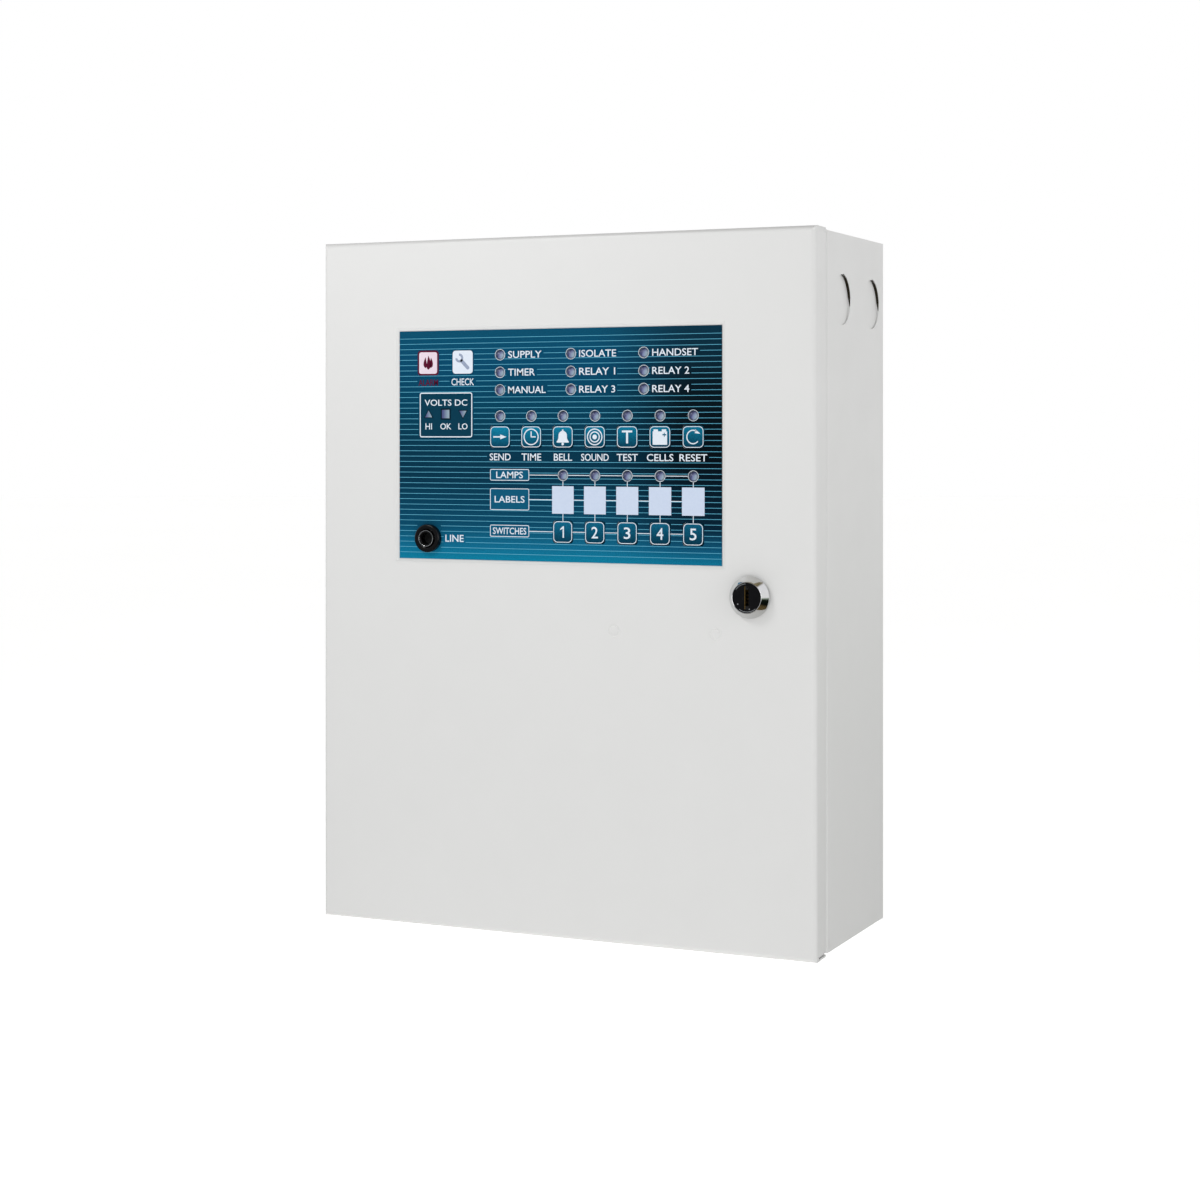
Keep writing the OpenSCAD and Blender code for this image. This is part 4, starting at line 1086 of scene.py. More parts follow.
class FIREPANEL_OT_lock(bpy.types.Operator):
    """Cam lock: chrome bezel on a threaded barrel, nut, black plug, cam and screw"""
    bl_idname = "fire_panel.lock"
    bl_label = "Lock"

    def execute(self, context):
        bright = chrome()
        zinc = zinc_plate()
        at = middle("lock_barrel")
        face, rear = span("lock_barrel")
        steel = span("door_shell")[0]
        bm = bmesh.new()
        threads = [(9.35 - 0.5 * (i % 2), steel + 2.0 + 0.5 * i) for i in range(34)]
        turned(bm, at, [(7.96, rear), (7.96, face + 0.35), (8.02, face + 0.06), (8.2, face),
                        (8.36, face + 0.1), (11.1, face + 3.9), (11.25, face + 4.2), (11.25, face + 4.8),
                        (11.1, face + 5.1), (11.0, steel), (9.35, steel)] + threads + [(9.2, rear)], 96)
        # Two flats on the thread keep the barrel from turning in the door
        flat = 8.4
        for side in (-1, 1):
            bmesh.ops.bisect_plane(bm, geom=[*bm.verts, *bm.edges, *bm.faces],
                                   plane_co=(at[0], 0, at[1] + flat * side), plane_no=(0, 0, side))
            for vert in bm.verts:
                if side * (vert.co.z - at[1]) > flat + 0.001 and vert.co.y > steel + 1.9:
                    vert.co.z = at[1] + flat * side
        finish(bm, "lock_bezel", "door", bright, "lock_chrome", "lock_barrel", smooth=32)

        dress_copy("lock_nut", "lock_hex_nut", "door", zinc, "zinc_plate", 0.4)
        black = moulded("black_plated_plug", "#08080a", "#121214", (0.2, 0.3), relief_mm=0.003,
                        **{"Specular IOR Level": 0.1})
        dress_copy("lock_plug", "plug_body", "lock", black, "lock_plug_black", 0.25)
        dress_copy("lock_cam", "cam_arm", "lock", zinc, "zinc_plate", 0.2)
        dress_copy("lock_screw", "cam_screw", "lock", zinc, "zinc_plate", 0.2)
        plug_face = span("lock_plug")[0]
        gold = brass()
        bm = bmesh.new()
        flat_plate(bm, shifted(at, -1.02), (0.15, 12.0), plug_face - 0.03)
        thicken(bm, 0.12)
        finish(bm, "slot_edge", "lock", gold, "brass")
        bm = bmesh.new()
        for dz in (-5.2, 5.2):
            flat_plate(bm, shifted(at, 0, dz), (1.9, 1.7), plug_face - 0.02, 0.3)
        thicken(bm, 0.1)
        finish(bm, "slot_shutter_ends", "lock", MADE["matt_black_nylon"], "lock_plug_black")
        bm = bmesh.new()
        # Painted highlights: chrome arcs and dots put on the rim of the plug face only where it glints
        for start, sweep in ((235, 75), (95, 50)):
            flat_ring(bm, at, 7.5, plug_face - 0.02, 0.26, start, sweep, 24)
        for dx, dz in ((1.5, -5.9), (0.4, 5.6), (-5.0, -3.4)):
            flat_disc(bm, shifted(at, dx, dz), 0.35, plug_face - 0.02, 10)
        thicken(bm, 0.12)
        finish(bm, "plug_rim_painted_glints", "lock", bright, "lock_chrome")
        bm = bmesh.new()
        for dz in (-3.0, -1.0, 1.0, 3.0):
            block(bm, shifted(at, 0, dz), (1.7, 1.1), plug_face + 6.0 + 0.3 * abs(dz), plug_face + 9, 0.2)
        finish(bm, "plug_wafers", "lock", gold, "brass")
        return {"FINISHED"}


class FIREPANEL_OT_hinges(bpy.types.Operator):
    """Two concealed hinges: ears on the cabinet, brackets on the door, and their pins"""
    bl_idname = "fire_panel.hinges"
    bl_label = "Hinges"

    def execute(self, context):
        zinc = zinc_plate()
        dress_copy("hinge_ears", "cabinet_ears", "cabinet", zinc, "zinc_plate", 0.15)
        dress_copy("hinge_brackets", "door_brackets", "door", zinc, "zinc_plate", 0.15)
        dress_copy("hinge_pins", "hinge_pegs", "door", MADE["tinned_solder"], "zinc_plate", 0.2)
        return {"FINISHED"}


# ---- Circuit boards ----

def axial_parts(bodies, ends, at, y, length, r, upright=False):
    """Resistor or diode lying on a board whose parts face +Y."""
    way = Vector((0, 0, 1)) if upright else Vector((1, 0, 0))
    centre = Vector((at[0], y + r + 0.3, at[1]))
    bar(bodies, centre - way * length / 2, centre + way * length / 2, r, 12)
    reach = length / 2 + 2
    bar(ends, centre - way * reach, centre + way * reach, 0.3, 6)
    for side in (-1, 1):
        foot = centre + way * reach * side
        bar(ends, foot, Vector((foot.x, y, foot.z)), 0.3, 6)


def solder_cones(bm, places, y, out=1.0):
    """Small cones of solder on a board; out is +1 on its rear and -1 on its front."""
    for at in places:
        rod(bm, at, *((0.9, 0.35) if out > 0 else (0.35, 0.9)), min(y, y + out), max(y, y + out), 10)


def silk_outlines(bm, boxes, y):
    """White outline round each part on a board"""
    for low, high in boxes:
        flat_frame(bm, place_of((low, high)), (high.x - low.x + 1.6, high.z - low.z + 1.6), y, 0.25, 0.3)


class FIREPANEL_OT_boards(bpy.types.Operator):
    """Main board and relay board on the door, with the parts on them"""
    bl_idname = "fire_panel.boards"
    bl_label = "Door boards"

    def execute(self, context):
        green = circuit_board("green_solder_mask", "#0d4a2b", "#1b6b3f", 1.27)
        zinc = MADE["zinc_plated_steel"]
        solder = MADE["tinned_solder"]
        white = MADE["white_screen_ink"]
        resin = moulded("black_epoxy_resin", "#151517", "#202022", (0.5, 0.65))
        cream = moulded("cream_nylon", "#e9e3d2", "#dcd5c0", (0.4, 0.5))
        blue = moulded("blue_relay_case", "#2257a8", "#1c4b93", (0.25, 0.35))
        dress_copy("main_board", "main_circuit_board", "door", green, "circuit_board", 0.12, 1)
        dress_copy("relay_board", "relay_circuit_board", "door", green, "circuit_board", 0.12, 1)
        dress_copy("board_fixings", "spacers_and_nuts", "door", zinc, "zinc_plate")
        dress_copy("tact_switches", "switch_bodies", "door", resin, "black_resin", 0.15, 1)
        dress_copy("board_connectors", "header_shrouds", "door", cream, "terminal_plastic", 0.2)
        rear, relay_rear = span("main_board")[1], span("relay_board")[1]

        # Chips: body with a pin-one dimple, and formed legs
        bodies, legs, marks = bmesh.new(), bmesh.new(), bmesh.new()
        chips = solids("board_chips")
        for low, high in chips:
            at = place_of((low, high))
            long, deep = high.x - low.x, high.z - low.z - 0.7
            block(bodies, at, (long, deep), rear + 0.8, high.y, 0.5)
            count = int(long / 5.08) * 2
            for i in range(count):
                for side in (-1, 1):
                    x = 2.54 * (i + 0.5) - 1.27 * count
                    block(legs, shifted(at, x, side * (deep / 2 + 0.12)), (0.6, 0.3), rear, rear + 2.6)
            flat_disc(marks, shifted(at, -long / 2 + 2, -deep / 2 + 2), 0.7, high.y + 0.01, 12)
        ease(bodies, 0.3, 2, 40)
        finish(bodies, "chip_bodies", "door", resin, "black_resin", "board_chips")
        finish(legs, "chip_legs", "door", solder, "zinc_plate")

        # Relays: case, moulded rib and a row of solder joints
        cases = bmesh.new()
        for low, high in solids("door_relays"):
            at = place_of((low, high))
            block(cases, at, (high.x - low.x, high.z - low.z), low.y + 0.5, high.y, 0.8)
            block(cases, at, (high.x - low.x - 5, 1.0), high.y - 1.0, high.y + 0.25)
        ease(cases, 0.35, 2, 40)
        finish(cases, "relay_cases", "door", blue, "relay_case", "door_relays")

        at = middle("board_buzzer")
        top = span("board_buzzer")[1]
        bm = bmesh.new()
        turned(bm, at, [(0.0, rear), (12, rear), (12, top - 1.2), (11.2, top - 0.3), (10.4, top), (3.4, top),
                        (3.2, top - 0.5), (1.6, top - 0.6), (1.6, top - 3), (0.0, top - 3)], 48)
        finish(bm, "sounder_case", "door", resin, "black_resin", "board_buzzer")

        # Pins that stand in the connectors
        pins = bmesh.new()
        for low, high in solids("board_connectors"):
            at, wide, tall = place_of((low, high)), high.x - low.x, high.z - low.z
            count = int(max(wide, tall) / 3.96)
            for i in range(count):
                shift = 3.96 * (i - (count - 1) / 2)
                spot = shifted(at, shift, 0) if wide > tall else shifted(at, 0, shift)
                block(pins, spot, (0.9, 0.9), low.y + 2, high.y - 1.2)
        finish(pins, "header_pins", "door", brass(), "brass")

        # Small parts in rows: resistors, diodes, capacitors and a crystal
        tan, dark, ends, cans, discs = (bmesh.new() for _ in range(5))
        for i in range(15):
            axial_parts(tan, ends, (-28 + 7.2 * i, 46.5), rear, 5.6, 1.1, True)
        for i in range(8):
            axial_parts(tan, ends, (72, 118 - 4.2 * i), rear, 6.2, 1.15)
            axial_parts(dark, ends, (-40, 108 - 5.0 * i), rear, 5.0, 1.2)
        for i in range(4):
            axial_parts(dark, ends, (36.5 + 17.7 * i, -26), relay_rear, 4.6, 1.3)
        for x, z in ((-10, 83.5), (24, 96), (24, 78), (74, 76), (-46, 62), (-52, 62)):
            block(discs, (x, z), (4.6, 2.4), rear + 0.8, rear + 6.2, 1.1)
        for x, z, r in ((-52, 88, 4), (-52, 76, 4), (74, 48, 5), (-34, 60, 3.2)):
            turned(cans, (x, z), [(0.0, rear + 0.2), (r, rear + 0.2), (r, rear + 1.4), (r - 0.3, rear + 1.8),
                                  (r, rear + 2.2), (r, rear + 2.6 * r), (r - 0.5, rear + 2.6 * r + 0.5),
                                  (0.0, rear + 2.6 * r + 0.3)], 28)
        ease(tan, 0.35, 2, 40)
        ease(discs, 0.6, 2, 40)
        finish(tan, "resistors", "door", moulded("tan_resistor_lacquer", "#c9ab7c", "#b08a58", (0.3, 0.4)),
               "circuit_board")
        finish(dark, "diodes", "door", resin, "black_resin")
        finish(ends, "component_leads", "door", solder, "zinc_plate")
        finish(cans, "board_capacitors", "door",
               moulded("dark_vinyl_sleeve", "#1a2c58", "#15244a", (0.25, 0.35)), "capacitor_sleeve")
        finish(discs, "ceramic_capacitors", "door",
               moulded("orange_dipped_ceramic", "#c9742a", "#b5611f", (0.35, 0.45)), "circuit_board")
        crystal = bmesh.new()
        block(crystal, (10, 72), (4.4, 11), rear + 0.3, rear + 3.6, 2.1)
        ease(crystal, 0.3, 2, 40)
        finish(crystal, "crystal_can", "door", zinc, "zinc_plate")

        joints = bmesh.new()
        lamps = [place_of(box) for box in solids("indicator_leds")]
        solder_cones(joints, [shifted(at, dx) for at in lamps for dx in (-1.27, 1.27)], rear)
        feet = [(dx, dz) for dx in (-3.3, 3.3) for dz in (-5, 5)]
        solder_cones(joints, [shifted(place_of(box), *foot) for box in solids("tact_switches")
                              for foot in feet], rear)
        finish(joints, "solder_joints", "door", solder, "zinc_plate")
        silk_outlines(marks, chips, rear + 0.01)
        silk_outlines(marks, [b for b in solids("door_relays") if b[0].z > 0], rear + 0.01)
        silk_outlines(marks, [b for b in solids("door_relays") if b[0].z < 0], relay_rear + 0.01)
        silk_outlines(marks, solids("board_connectors")[:3], rear + 0.01)
        thicken(marks, 0.03)
        finish(marks, "door_board_legends", "door", white, "circuit_board")
        return {"FINISHED"}


# ---- Cabinet ----

KNOCKOUT_R = 13.65            # radius of the disc that is left in a knockout
KNOCKOUT_Y = (-76.0, -24.5)   # depths of the knockouts' centres
KNOCKOUT_Z = 156.0


def sheared_edge(bm, centre, side):
    """Crescent on the sheared edge of a knockout, widest at its upper rear; coloured near-black, as bare
    steel darkened by painted shade.
    """
    r = KNOCKOUT_R - 0.05
    spots = [math.radians(-14 + 112 * t / 28) for t in range(29)]
    widths = [0.05 + 1.5 * math.sin(math.pi * t / 28) ** 0.6 for t in range(29)]
    outer = [(0.06, a) for a in spots]
    inner = [(0.06 + w, a) for w, a in zip(widths, spots)]
    rows = [[bm.verts.new(Vector(centre) + Vector((-side * depth, r * math.cos(a), r * math.sin(a))))
             for depth, a in row] for row in (outer, inner)]
    for i in range(28):
        bm.faces.new((rows[0][i], rows[0][i + 1], rows[1][i + 1], rows[1][i]))


class FIREPANEL_OT_cabinet(bpy.types.Operator):
    """Folded cabinet with its knockouts and earth stud"""
    bl_idname = "fire_panel.cabinet"
    bl_label = "Cabinet"

    def execute(self, context):
        coat = MADE["powder_coated_steel"]
        bm = bench_copy("cabinet_shell")
        edges = bmesh.new()
        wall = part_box("cabinet_shell")[1].x / MM
        for y, side in [(y, side) for y in KNOCKOUT_Y for side in (-1, 1)]:
            # The disc of each knockout leans inwards at its upper rear, where it has been sheared
            for vert in bm.verts:
                dy, dz = vert.co.y - y, vert.co.z - KNOCKOUT_Z
                if math.hypot(dy, dz) < KNOCKOUT_R + 0.05 and wall - 2 < side * vert.co.x < wall - 0.3:
                    lean = 0.5 + (dy + dz) / (2 * math.sqrt(2) * KNOCKOUT_R)
                    vert.co.x -= side * 1.1 * max(lean, 0) ** 1.5
            sheared_edge(edges, (side * wall, y, KNOCKOUT_Z), side)
        ease(bm, 0.2, 2)
        finish(bm, "cabinet_body", "cabinet", coat, "powder_coat", "cabinet_shell")
        bmesh.ops.recalc_face_normals(edges, faces=edges.faces)
        bmesh.ops.solidify(edges, geom=edges.faces[:], thickness=0.05)
        # The sheared edge is coloured near-black: partly bare steel, partly painted shade in the gap
        finish(edges, "knockout_edges", "cabinet", surface(
            "sheared_steel_painted_shade", linear("#1c1813"), linear("#3a3226"), patch_mm=1.5, roughness=(0.3, 0.45),
            grain_mm=0.2, relief_mm=0.01, Metallic=0.8), "core_steel")
        dress_copy("earth_stud", "earth_post", "cabinet", MADE["turned_brass"], "brass", 0.15, 1)
        at = middle("earth_stud")
        washer = span("earth_stud")[1] - 1.22
        bm = bmesh.new()
        flat_ring(bm, at, 9.5, washer + 1.15, 2.4)
        thicken(bm, 0.04)
        finish(bm, "earth_marking", "cabinet", pvc("green_label", "#2f8f3f", "#27803a"), "lead_sleeve")
        return {"FINISHED"}


class FIREPANEL_OT_charger(bpy.types.Operator):
    """Charger board with its heatsink, regulators, capacitors, fuses and plugs"""
    bl_idname = "fire_panel.charger"
    bl_label = "Charger"

    def execute(self, context):
        green = MADE["green_solder_mask"]
        resin = MADE["black_epoxy_resin"]
        solder = MADE["tinned_solder"]
        zinc = MADE["zinc_plated_steel"]
        cream = MADE["cream_nylon"]
        sleeve = MADE["dark_vinyl_sleeve"]
        black = surface("black_anodised_aluminium", linear("#1d1e20"), linear("#2a2c2f"), patch_mm=6,
                        roughness=(0.4, 0.55), grain_mm=0.3, relief_mm=0.01, Metallic=0.7)
        dress_copy("charger_board", "charger_circuit_board", "cabinet", green, "circuit_board", 0.12, 1)
        dress_copy("charger_fixings", "charger_spacers", "cabinet", zinc, "zinc_plate")
        dress_copy("charger_heatsink", "finned_heatsink", "cabinet", black, "anodised_black", 0.25)
        dress_copy("charger_regulators", "regulator_bodies", "cabinet", resin, "black_resin", 0.15, 1)
        dress_copy("charger_connectors", "charger_headers", "cabinet", cream, "terminal_plastic", 0.2)
        front = span("charger_board")[0]

        # Capacitors: vinyl sleeve rolled over the can, and its scored top
        sleeves, tops = bmesh.new(), bmesh.new()
        for low, high in solids("charger_capacitors"):
            at, r = place_of((low, high)), (high.x - low.x) / 2
            turned(sleeves, at, [(r - 1.4, low.y + 0.25), (r - 0.7, low.y), (r, low.y + 0.6),
                                 (r, front - 2.4), (r - 0.4, front - 1.9), (r, front - 1.4), (r, front),
                                 (r - 1.4, front)], 40)
            turned(tops, at, [(0.0, low.y + 0.45), (r - 1.3, low.y + 0.45), (r - 1.3, low.y + 1.6),
                              (0.0, low.y + 1.6)], 40)
            for turn in (45, -45):
                block(tops, at, (1.5 * r, 0.3), low.y + 0.36, low.y + 0.5, 0, turn)
        finish(sleeves, "capacitor_sleeves", "cabinet", sleeve, "capacitor_sleeve", "charger_capacitors")
        finish(tops, "capacitor_tops", "cabinet", surface(
            "drawn_aluminium", linear("#c9ccce"), linear("#b4b8bb"), patch_mm=2, roughness=(0.25, 0.35),
            grain_mm=0.3, relief_mm=0.004, Metallic=1.0), "zinc_plate")

        # A choke wound on a ring, power resistors on stand-off feet, and a bridge rectifier
        parts, copper, ceramic, ends = (bmesh.new() for _ in range(4))
        choke = (-62, 10)
        turned(parts, choke, [(4.6, front - 7), (4.6, front - 1), (5.2, front - 0.4), (8.4, front - 0.4),
                              (9.0, front - 1), (9.0, front - 7), (8.4, front - 7.6), (5.2, front - 7.6)], 36)
        for i in range(22):
            a = math.radians(16 * i)
            spot = Vector((choke[0] + 6.8 * math.cos(a), 0, choke[1] + 6.8 * math.sin(a)))
            out = Vector((math.cos(a), 0, math.sin(a)))
            corners = [spot + out * dx + Vector((0, front + dy, 0))
                       for dx, dy in ((2.7, -0.1), (2.7, -8.1), (-2.7, -8.1), (-2.7, -0.1))]
            for start, end in zip(corners, corners[1:] + corners[:1]):
                bar(copper, start, end, 0.5, 8)
        for x, z in ((-36, 8), (-36, -4)):
            block(ceramic, (x, z), (20, 7), front - 9, front - 2, 0.6)
            for dx in (-8, 8):
                block(ends, (x + dx, z), (0.8, 0.8), front - 2, front)
        block(parts, (-84, -2), (15, 15), front - 6, front - 1, 1)
        for x in (-96, -90, -84, -78):
            block(ends, (x, 22), (0.6, 3.4), front - 0.8, front)
            block(parts, (x, 22), (2.2, 2.0), front - 1.3, front - 0.2, 0.2)
        ease(ceramic, 0.4, 2, 40)
        finish(parts, "choke_core_and_rectifier", "cabinet", resin, "black_resin")
        finish(copper, "choke_winding", "cabinet", surface(
            "enamelled_copper", linear("#b4642e"), linear("#96501f"), patch_mm=3, roughness=(0.2, 0.3),
            grain_mm=0.4, relief_mm=0.004, Metallic=0.9), "brass")
        finish(ceramic, "power_resistors", "cabinet",
               moulded("fired_white_ceramic", "#e4e2da", "#d5d2c8", (0.6, 0.75)), "terminal_plastic")
        finish(ends, "charger_component_leads", "cabinet", solder, "zinc_plate")

        marks = bmesh.new()
        silk_outlines(marks, solids("charger_connectors") + solids("charger_capacitors"), front - 0.01)
        silk_outlines(marks, solids("charger_heatsink"), front - 0.01)
        thicken(marks, -0.03)
        finish(marks, "charger_legends", "cabinet", MADE["white_screen_ink"], "circuit_board")
        return {"FINISHED"}


class FIREPANEL_OT_fuses(bpy.types.Operator):
    """Three glass fuses in open holders"""
    bl_idname = "fire_panel.fuses"
    bl_label = "Fuses"

    def execute(self, context):
        base, clips, glass, caps, thread = (bmesh.new() for _ in range(5))
        boxes = [b for b in solids("fuse_holders") if b[1].x - b[0].x > 24]
        for low, high in boxes:
            at, seat = place_of((low, high)), high.y

            def along(x):
                """Point on the line of the glass tube"""
                return at[0] + x, seat - 6.4, at[1]

            block(base, at, (26, 9), seat - 3, seat, 1.0)
            for side in (-1, 1):
                for dz in (-1, 1):
                    block(clips, shifted(at, 9 * side, 3.05 * dz), (4, 0.7), seat - 8, seat - 3)
                block(clips, shifted(at, 9 * side), (4, 6.4), seat - 3.7, seat - 3)
                bar(caps, along(10 * side), along(5.4 * side), 2.55, 24)
            bar(glass, along(-5.4), along(5.4), 2.35, 24)
            bar(thread, along(-5.4), along(5.4), 0.18, 6)
        ease(base, 0.3, 2, 40)
        ease(caps, 0.25, 2, 40)
        finish(base, "fuse_bases", "cabinet", MADE["cream_nylon"], "terminal_plastic", "fuse_holders")
        finish(clips, "fuse_clips", "cabinet", MADE["turned_brass"], "brass")
        finish(caps, "fuse_caps", "cabinet", MADE["chrome_plate"], "zinc_plate")
        finish(thread, "fuse_elements", "cabinet", MADE["tinned_solder"], "zinc_plate")
        finish(glass, "fuse_tubes", "cabinet", surface(
            "soda_glass_tube", linear("#eef3f2"), linear("#e6edec"), patch_mm=4, roughness=(0.02, 0.05),
            grain_mm=1, relief_mm=0.001, IOR=1.52, **{"Transmission Weight": 0.95}), "fuse_glass")
        return {"FINISHED"}


class FIREPANEL_OT_transformer(bpy.types.Operator):
    """Mains transformer: core, taped winding and pressed frame"""
    bl_idname = "fire_panel.transformer"
    bl_label = "Transformer"

    def execute(self, context):
        dress_copy("transformer_core", "core_laminations", "cabinet", laminations(), "core_steel", 0.2, 1)
        dress_copy("transformer_coil", "taped_winding", "cabinet", winding_tape(), "coil_tape", 2.2, 4)
        dress_copy("transformer_frame", "transformer_strap", "cabinet",
                   MADE["zinc_plated_steel"], "zinc_plate", 0.25)
        at = middle("transformer_core")
        front = span("transformer_coil")[0]
        tags = bmesh.new()
        cheeks = bmesh.new()
        for y in (front + 10, -17.5):
            block(cheeks, at, (45.4, 34), y, y + 1.4, 1.0)
        for x in (-8, 2):
            block(tags, shifted(at, x, 14.2), (3, 0.8), front - 0.6, front + 5)
        finish(cheeks, "bobbin_cheeks", "cabinet", MADE["cream_nylon"], "terminal_plastic")
        finish(tags, "winding_tags", "cabinet", MADE["tinned_solder"], "zinc_plate")
        # Screws that hold the frame to the back wall
        bm = bmesh.new()
        seat = span("transformer_frame")[1] - 1.4
        for side in (-1, 1):
            screw_head(bm, shifted(at, 39 * side), 3.8, seat, 2.0)
        finish(bm, "transformer_screws", "cabinet", MADE["zinc_plated_steel"], "zinc_plate")
        return {"FINISHED"}


def screw_head(bm, at, r, seat, height):
    """Domed cross-head screw that faces the front; the cross is four raised quarters on a lower disc."""
    rim = seat - height * 0.45
    turned(bm, at, [(0.0, seat), (r, seat), (r, rim), (0.92 * r, rim - 0.25 * height),
                    (0.62 * r, seat - 0.86 * height), (0.0, seat - 0.86 * height)], 28)
    for dx in (-1, 1):
        for dz in (-1, 1):
            block(bm, shifted(at, dx * 0.34 * r, dz * 0.34 * r), (0.44 * r, 0.44 * r),
                  seat - height, seat - 0.7 * height, 0.12 * r)


class FIREPANEL_OT_terminals(bpy.types.Operator):
    """Mains terminals and the field wiring strip with its screws"""
    bl_idname = "fire_panel.terminals"
    bl_label = "Terminals"

    def execute(self, context):
        cream = MADE["cream_nylon"]
        zinc = MADE["zinc_plated_steel"]
        dress_copy("mains_terminals", "mains_block", "cabinet", cream, "terminal_plastic", 0.3)
        dress_copy("field_terminals", "barrier_strip", "cabinet",
                   moulded("black_phenolic", "#1b1b1c", "#262627", (0.45, 0.6)), "black_resin", 0.25)
        dress_copy("terminal_screws", "binding_screws", "cabinet", zinc, "zinc_plate")
        at = middle("mains_terminals")
        seat = span("mains_terminals")[0] + 7.0
        screws = bmesh.new()
        for i in (-1, 0, 1):
            screw_head(screws, shifted(at, 13 * i), 2.3, seat, 1.6)
        finish(screws, "mains_screws", "cabinet", zinc, "zinc_plate")

        # Number strip beside the field terminals, one numeral to a way
        strip = shifted(middle("field_terminals"), 0, -15.5)
        wall = span("field_terminals")[1]
        numbers, tape = bmesh.new(), bmesh.new()
        block(tape, strip, (190, 6), wall - 0.25, wall, 0.4)
        for i in range(20):
            across = 1.4 if i == 0 else 2.2 if i < 9 else 4.2
            lettering(numbers, str(i + 1), shifted(strip, 9.5 * (i - 9.5)), wall - 0.26, 3.0, across)
        thicken(numbers, -0.03)
        finish(tape, "terminal_number_strip", "cabinet", MADE["coated_label_card"], "label_card")
        finish(numbers, "terminal_numbers", "cabinet", MADE["black_screen_ink"], "label_card")
        return {"FINISHED"}


class FIREPANEL_OT_batteries(bpy.types.Operator):
    """Two sealed batteries with terminals, marks and the steel strap that holds them"""
    bl_idname = "fire_panel.batteries"
    bl_label = "Batteries"

    def execute(self, context):
        case = moulded("textured_black_abs", "#1f2124", "#292b2f", (0.5, 0.65), grain_mm=0.7, relief_mm=0.03)
        tin_plate = MADE["tinned_solder"]
        dress_copy("battery_left", "battery_case_left", "cabinet", case, "battery_case", 0.9, 3)
        dress_copy("battery_right", "battery_case_right", "cabinet", case, "battery_case", 0.9, 3)
        dress_copy("battery_terminals", "battery_tabs", "cabinet", tin_plate, "zinc_plate", 0.12, 1)
        dress_copy("battery_bracket", "battery_strap", "cabinet",
                   MADE["zinc_plated_steel"], "zinc_plate", 0.3)
        label, plus, minus = bmesh.new(), bmesh.new(), bmesh.new()
        for node in ("battery_left", "battery_right"):
            front = span(node)[0]
            rim = (middle(node)[0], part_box(node)[1].z / MM)
            block(label, shifted(rim, 0, -34), (70, 14), front - 0.12, front, 1.0)
            for side, bm in ((-1, plus), (1, minus)):
                flat_plate(bm, shifted(rim, 30 * side, -16), (5, 1.2), front)
            for dz in (1.55, -1.55):
                flat_plate(plus, shifted(rim, -30, dz - 16), (1.2, 1.9), front)
        thicken(plus, -0.05)
        thicken(minus, -0.05)
        finish(label, "battery_labels", "cabinet", MADE["coated_label_card"], "label_card")
        finish(plus, "battery_plus_marks", "cabinet", ink("signal_red_ink", linear("#c0262b")), "label_card")
        finish(minus, "battery_minus_marks", "cabinet", MADE["white_screen_ink"], "label_card")
        bm = bmesh.new()
        strap_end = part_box("battery_bracket")[1] / MM
        screw_head(bm, (strap_end.x - 6.5, middle("battery_bracket")[1]), 4.0, strap_end.y - 1.5, 2.2)
        finish(bm, "strap_screw", "cabinet", MADE["zinc_plated_steel"], "zinc_plate")
        return {"FINISHED"}


# ---- Wiring. Routes are points in millimetres, given one by one. ----

PLUG = -20.2          # where a lead ends, just off a plug on the charger board
RED_ROUTE = [(-119, -64, -82), (-119, -62, -72), (-126, -52, -55), (-128, -38, -36), (-117, -29, -20),
             (-105, -26, -16), (-104, PLUG, -16)]
BLACK_ROUTE = [(41, -64, -82), (44, -66, -72), (36, -58, -55), (20, -44, -42), (2, -32, -30), (-2, -26, -22),
               (-2, PLUG, -22)]
LINK_ROUTE = [(-53, -64, -82), (-50, -68, -75), (-39, -69, -72), (-29, -68, -75), (-25, -64, -82)]
LIVE_ROUTE = [(93, -19, 98), (92, -30, 84), (94, -36, 60), (96, -42, 30), (98, -46, 5), (98, -54, -14),
              (95, -57, -28), (95, -57, -35.8)]
NEUTRAL_ROUTE = [(106, -19, 98), (106, -30, 84), (108, -36, 60), (109, -42, 30), (108, -46, 5),
                 (106, -54, -14), (105, -57, -28), (105, -57, -35.8)]
SUPPLY_ROUTE = [(18, PLUG, -22), (18, -26, -22), (30, -34, -36), (44, -40, -58), (54, -48, -76),
                (66, -54, -84), (80, -57, -84), (90, -57, -78), (92, -57, -68.2)]
LOOM_ROUTE = [(-91, -101.3, 78), (-91, -95, 78), (-97, -88, 73), (-108, -84, 62), (-120, -82, 48),
              (-128, -78, 34), (-131, -68, 22), (-130, -54, 14), (-122, -40, 10), (-108, -30, 8),
              (-104, -25, 8), (-104, PLUG, 8)]
BOND_ROUTE = [(-126, -119, 100), (-126, -106, 99), (-127, -96, 94), (-129, -86, 86), (-131, -74, 78),
              (-131, -56, 73), (-130, -36, 71), (-129, -16, 70), (-128, -2.2, 70)]


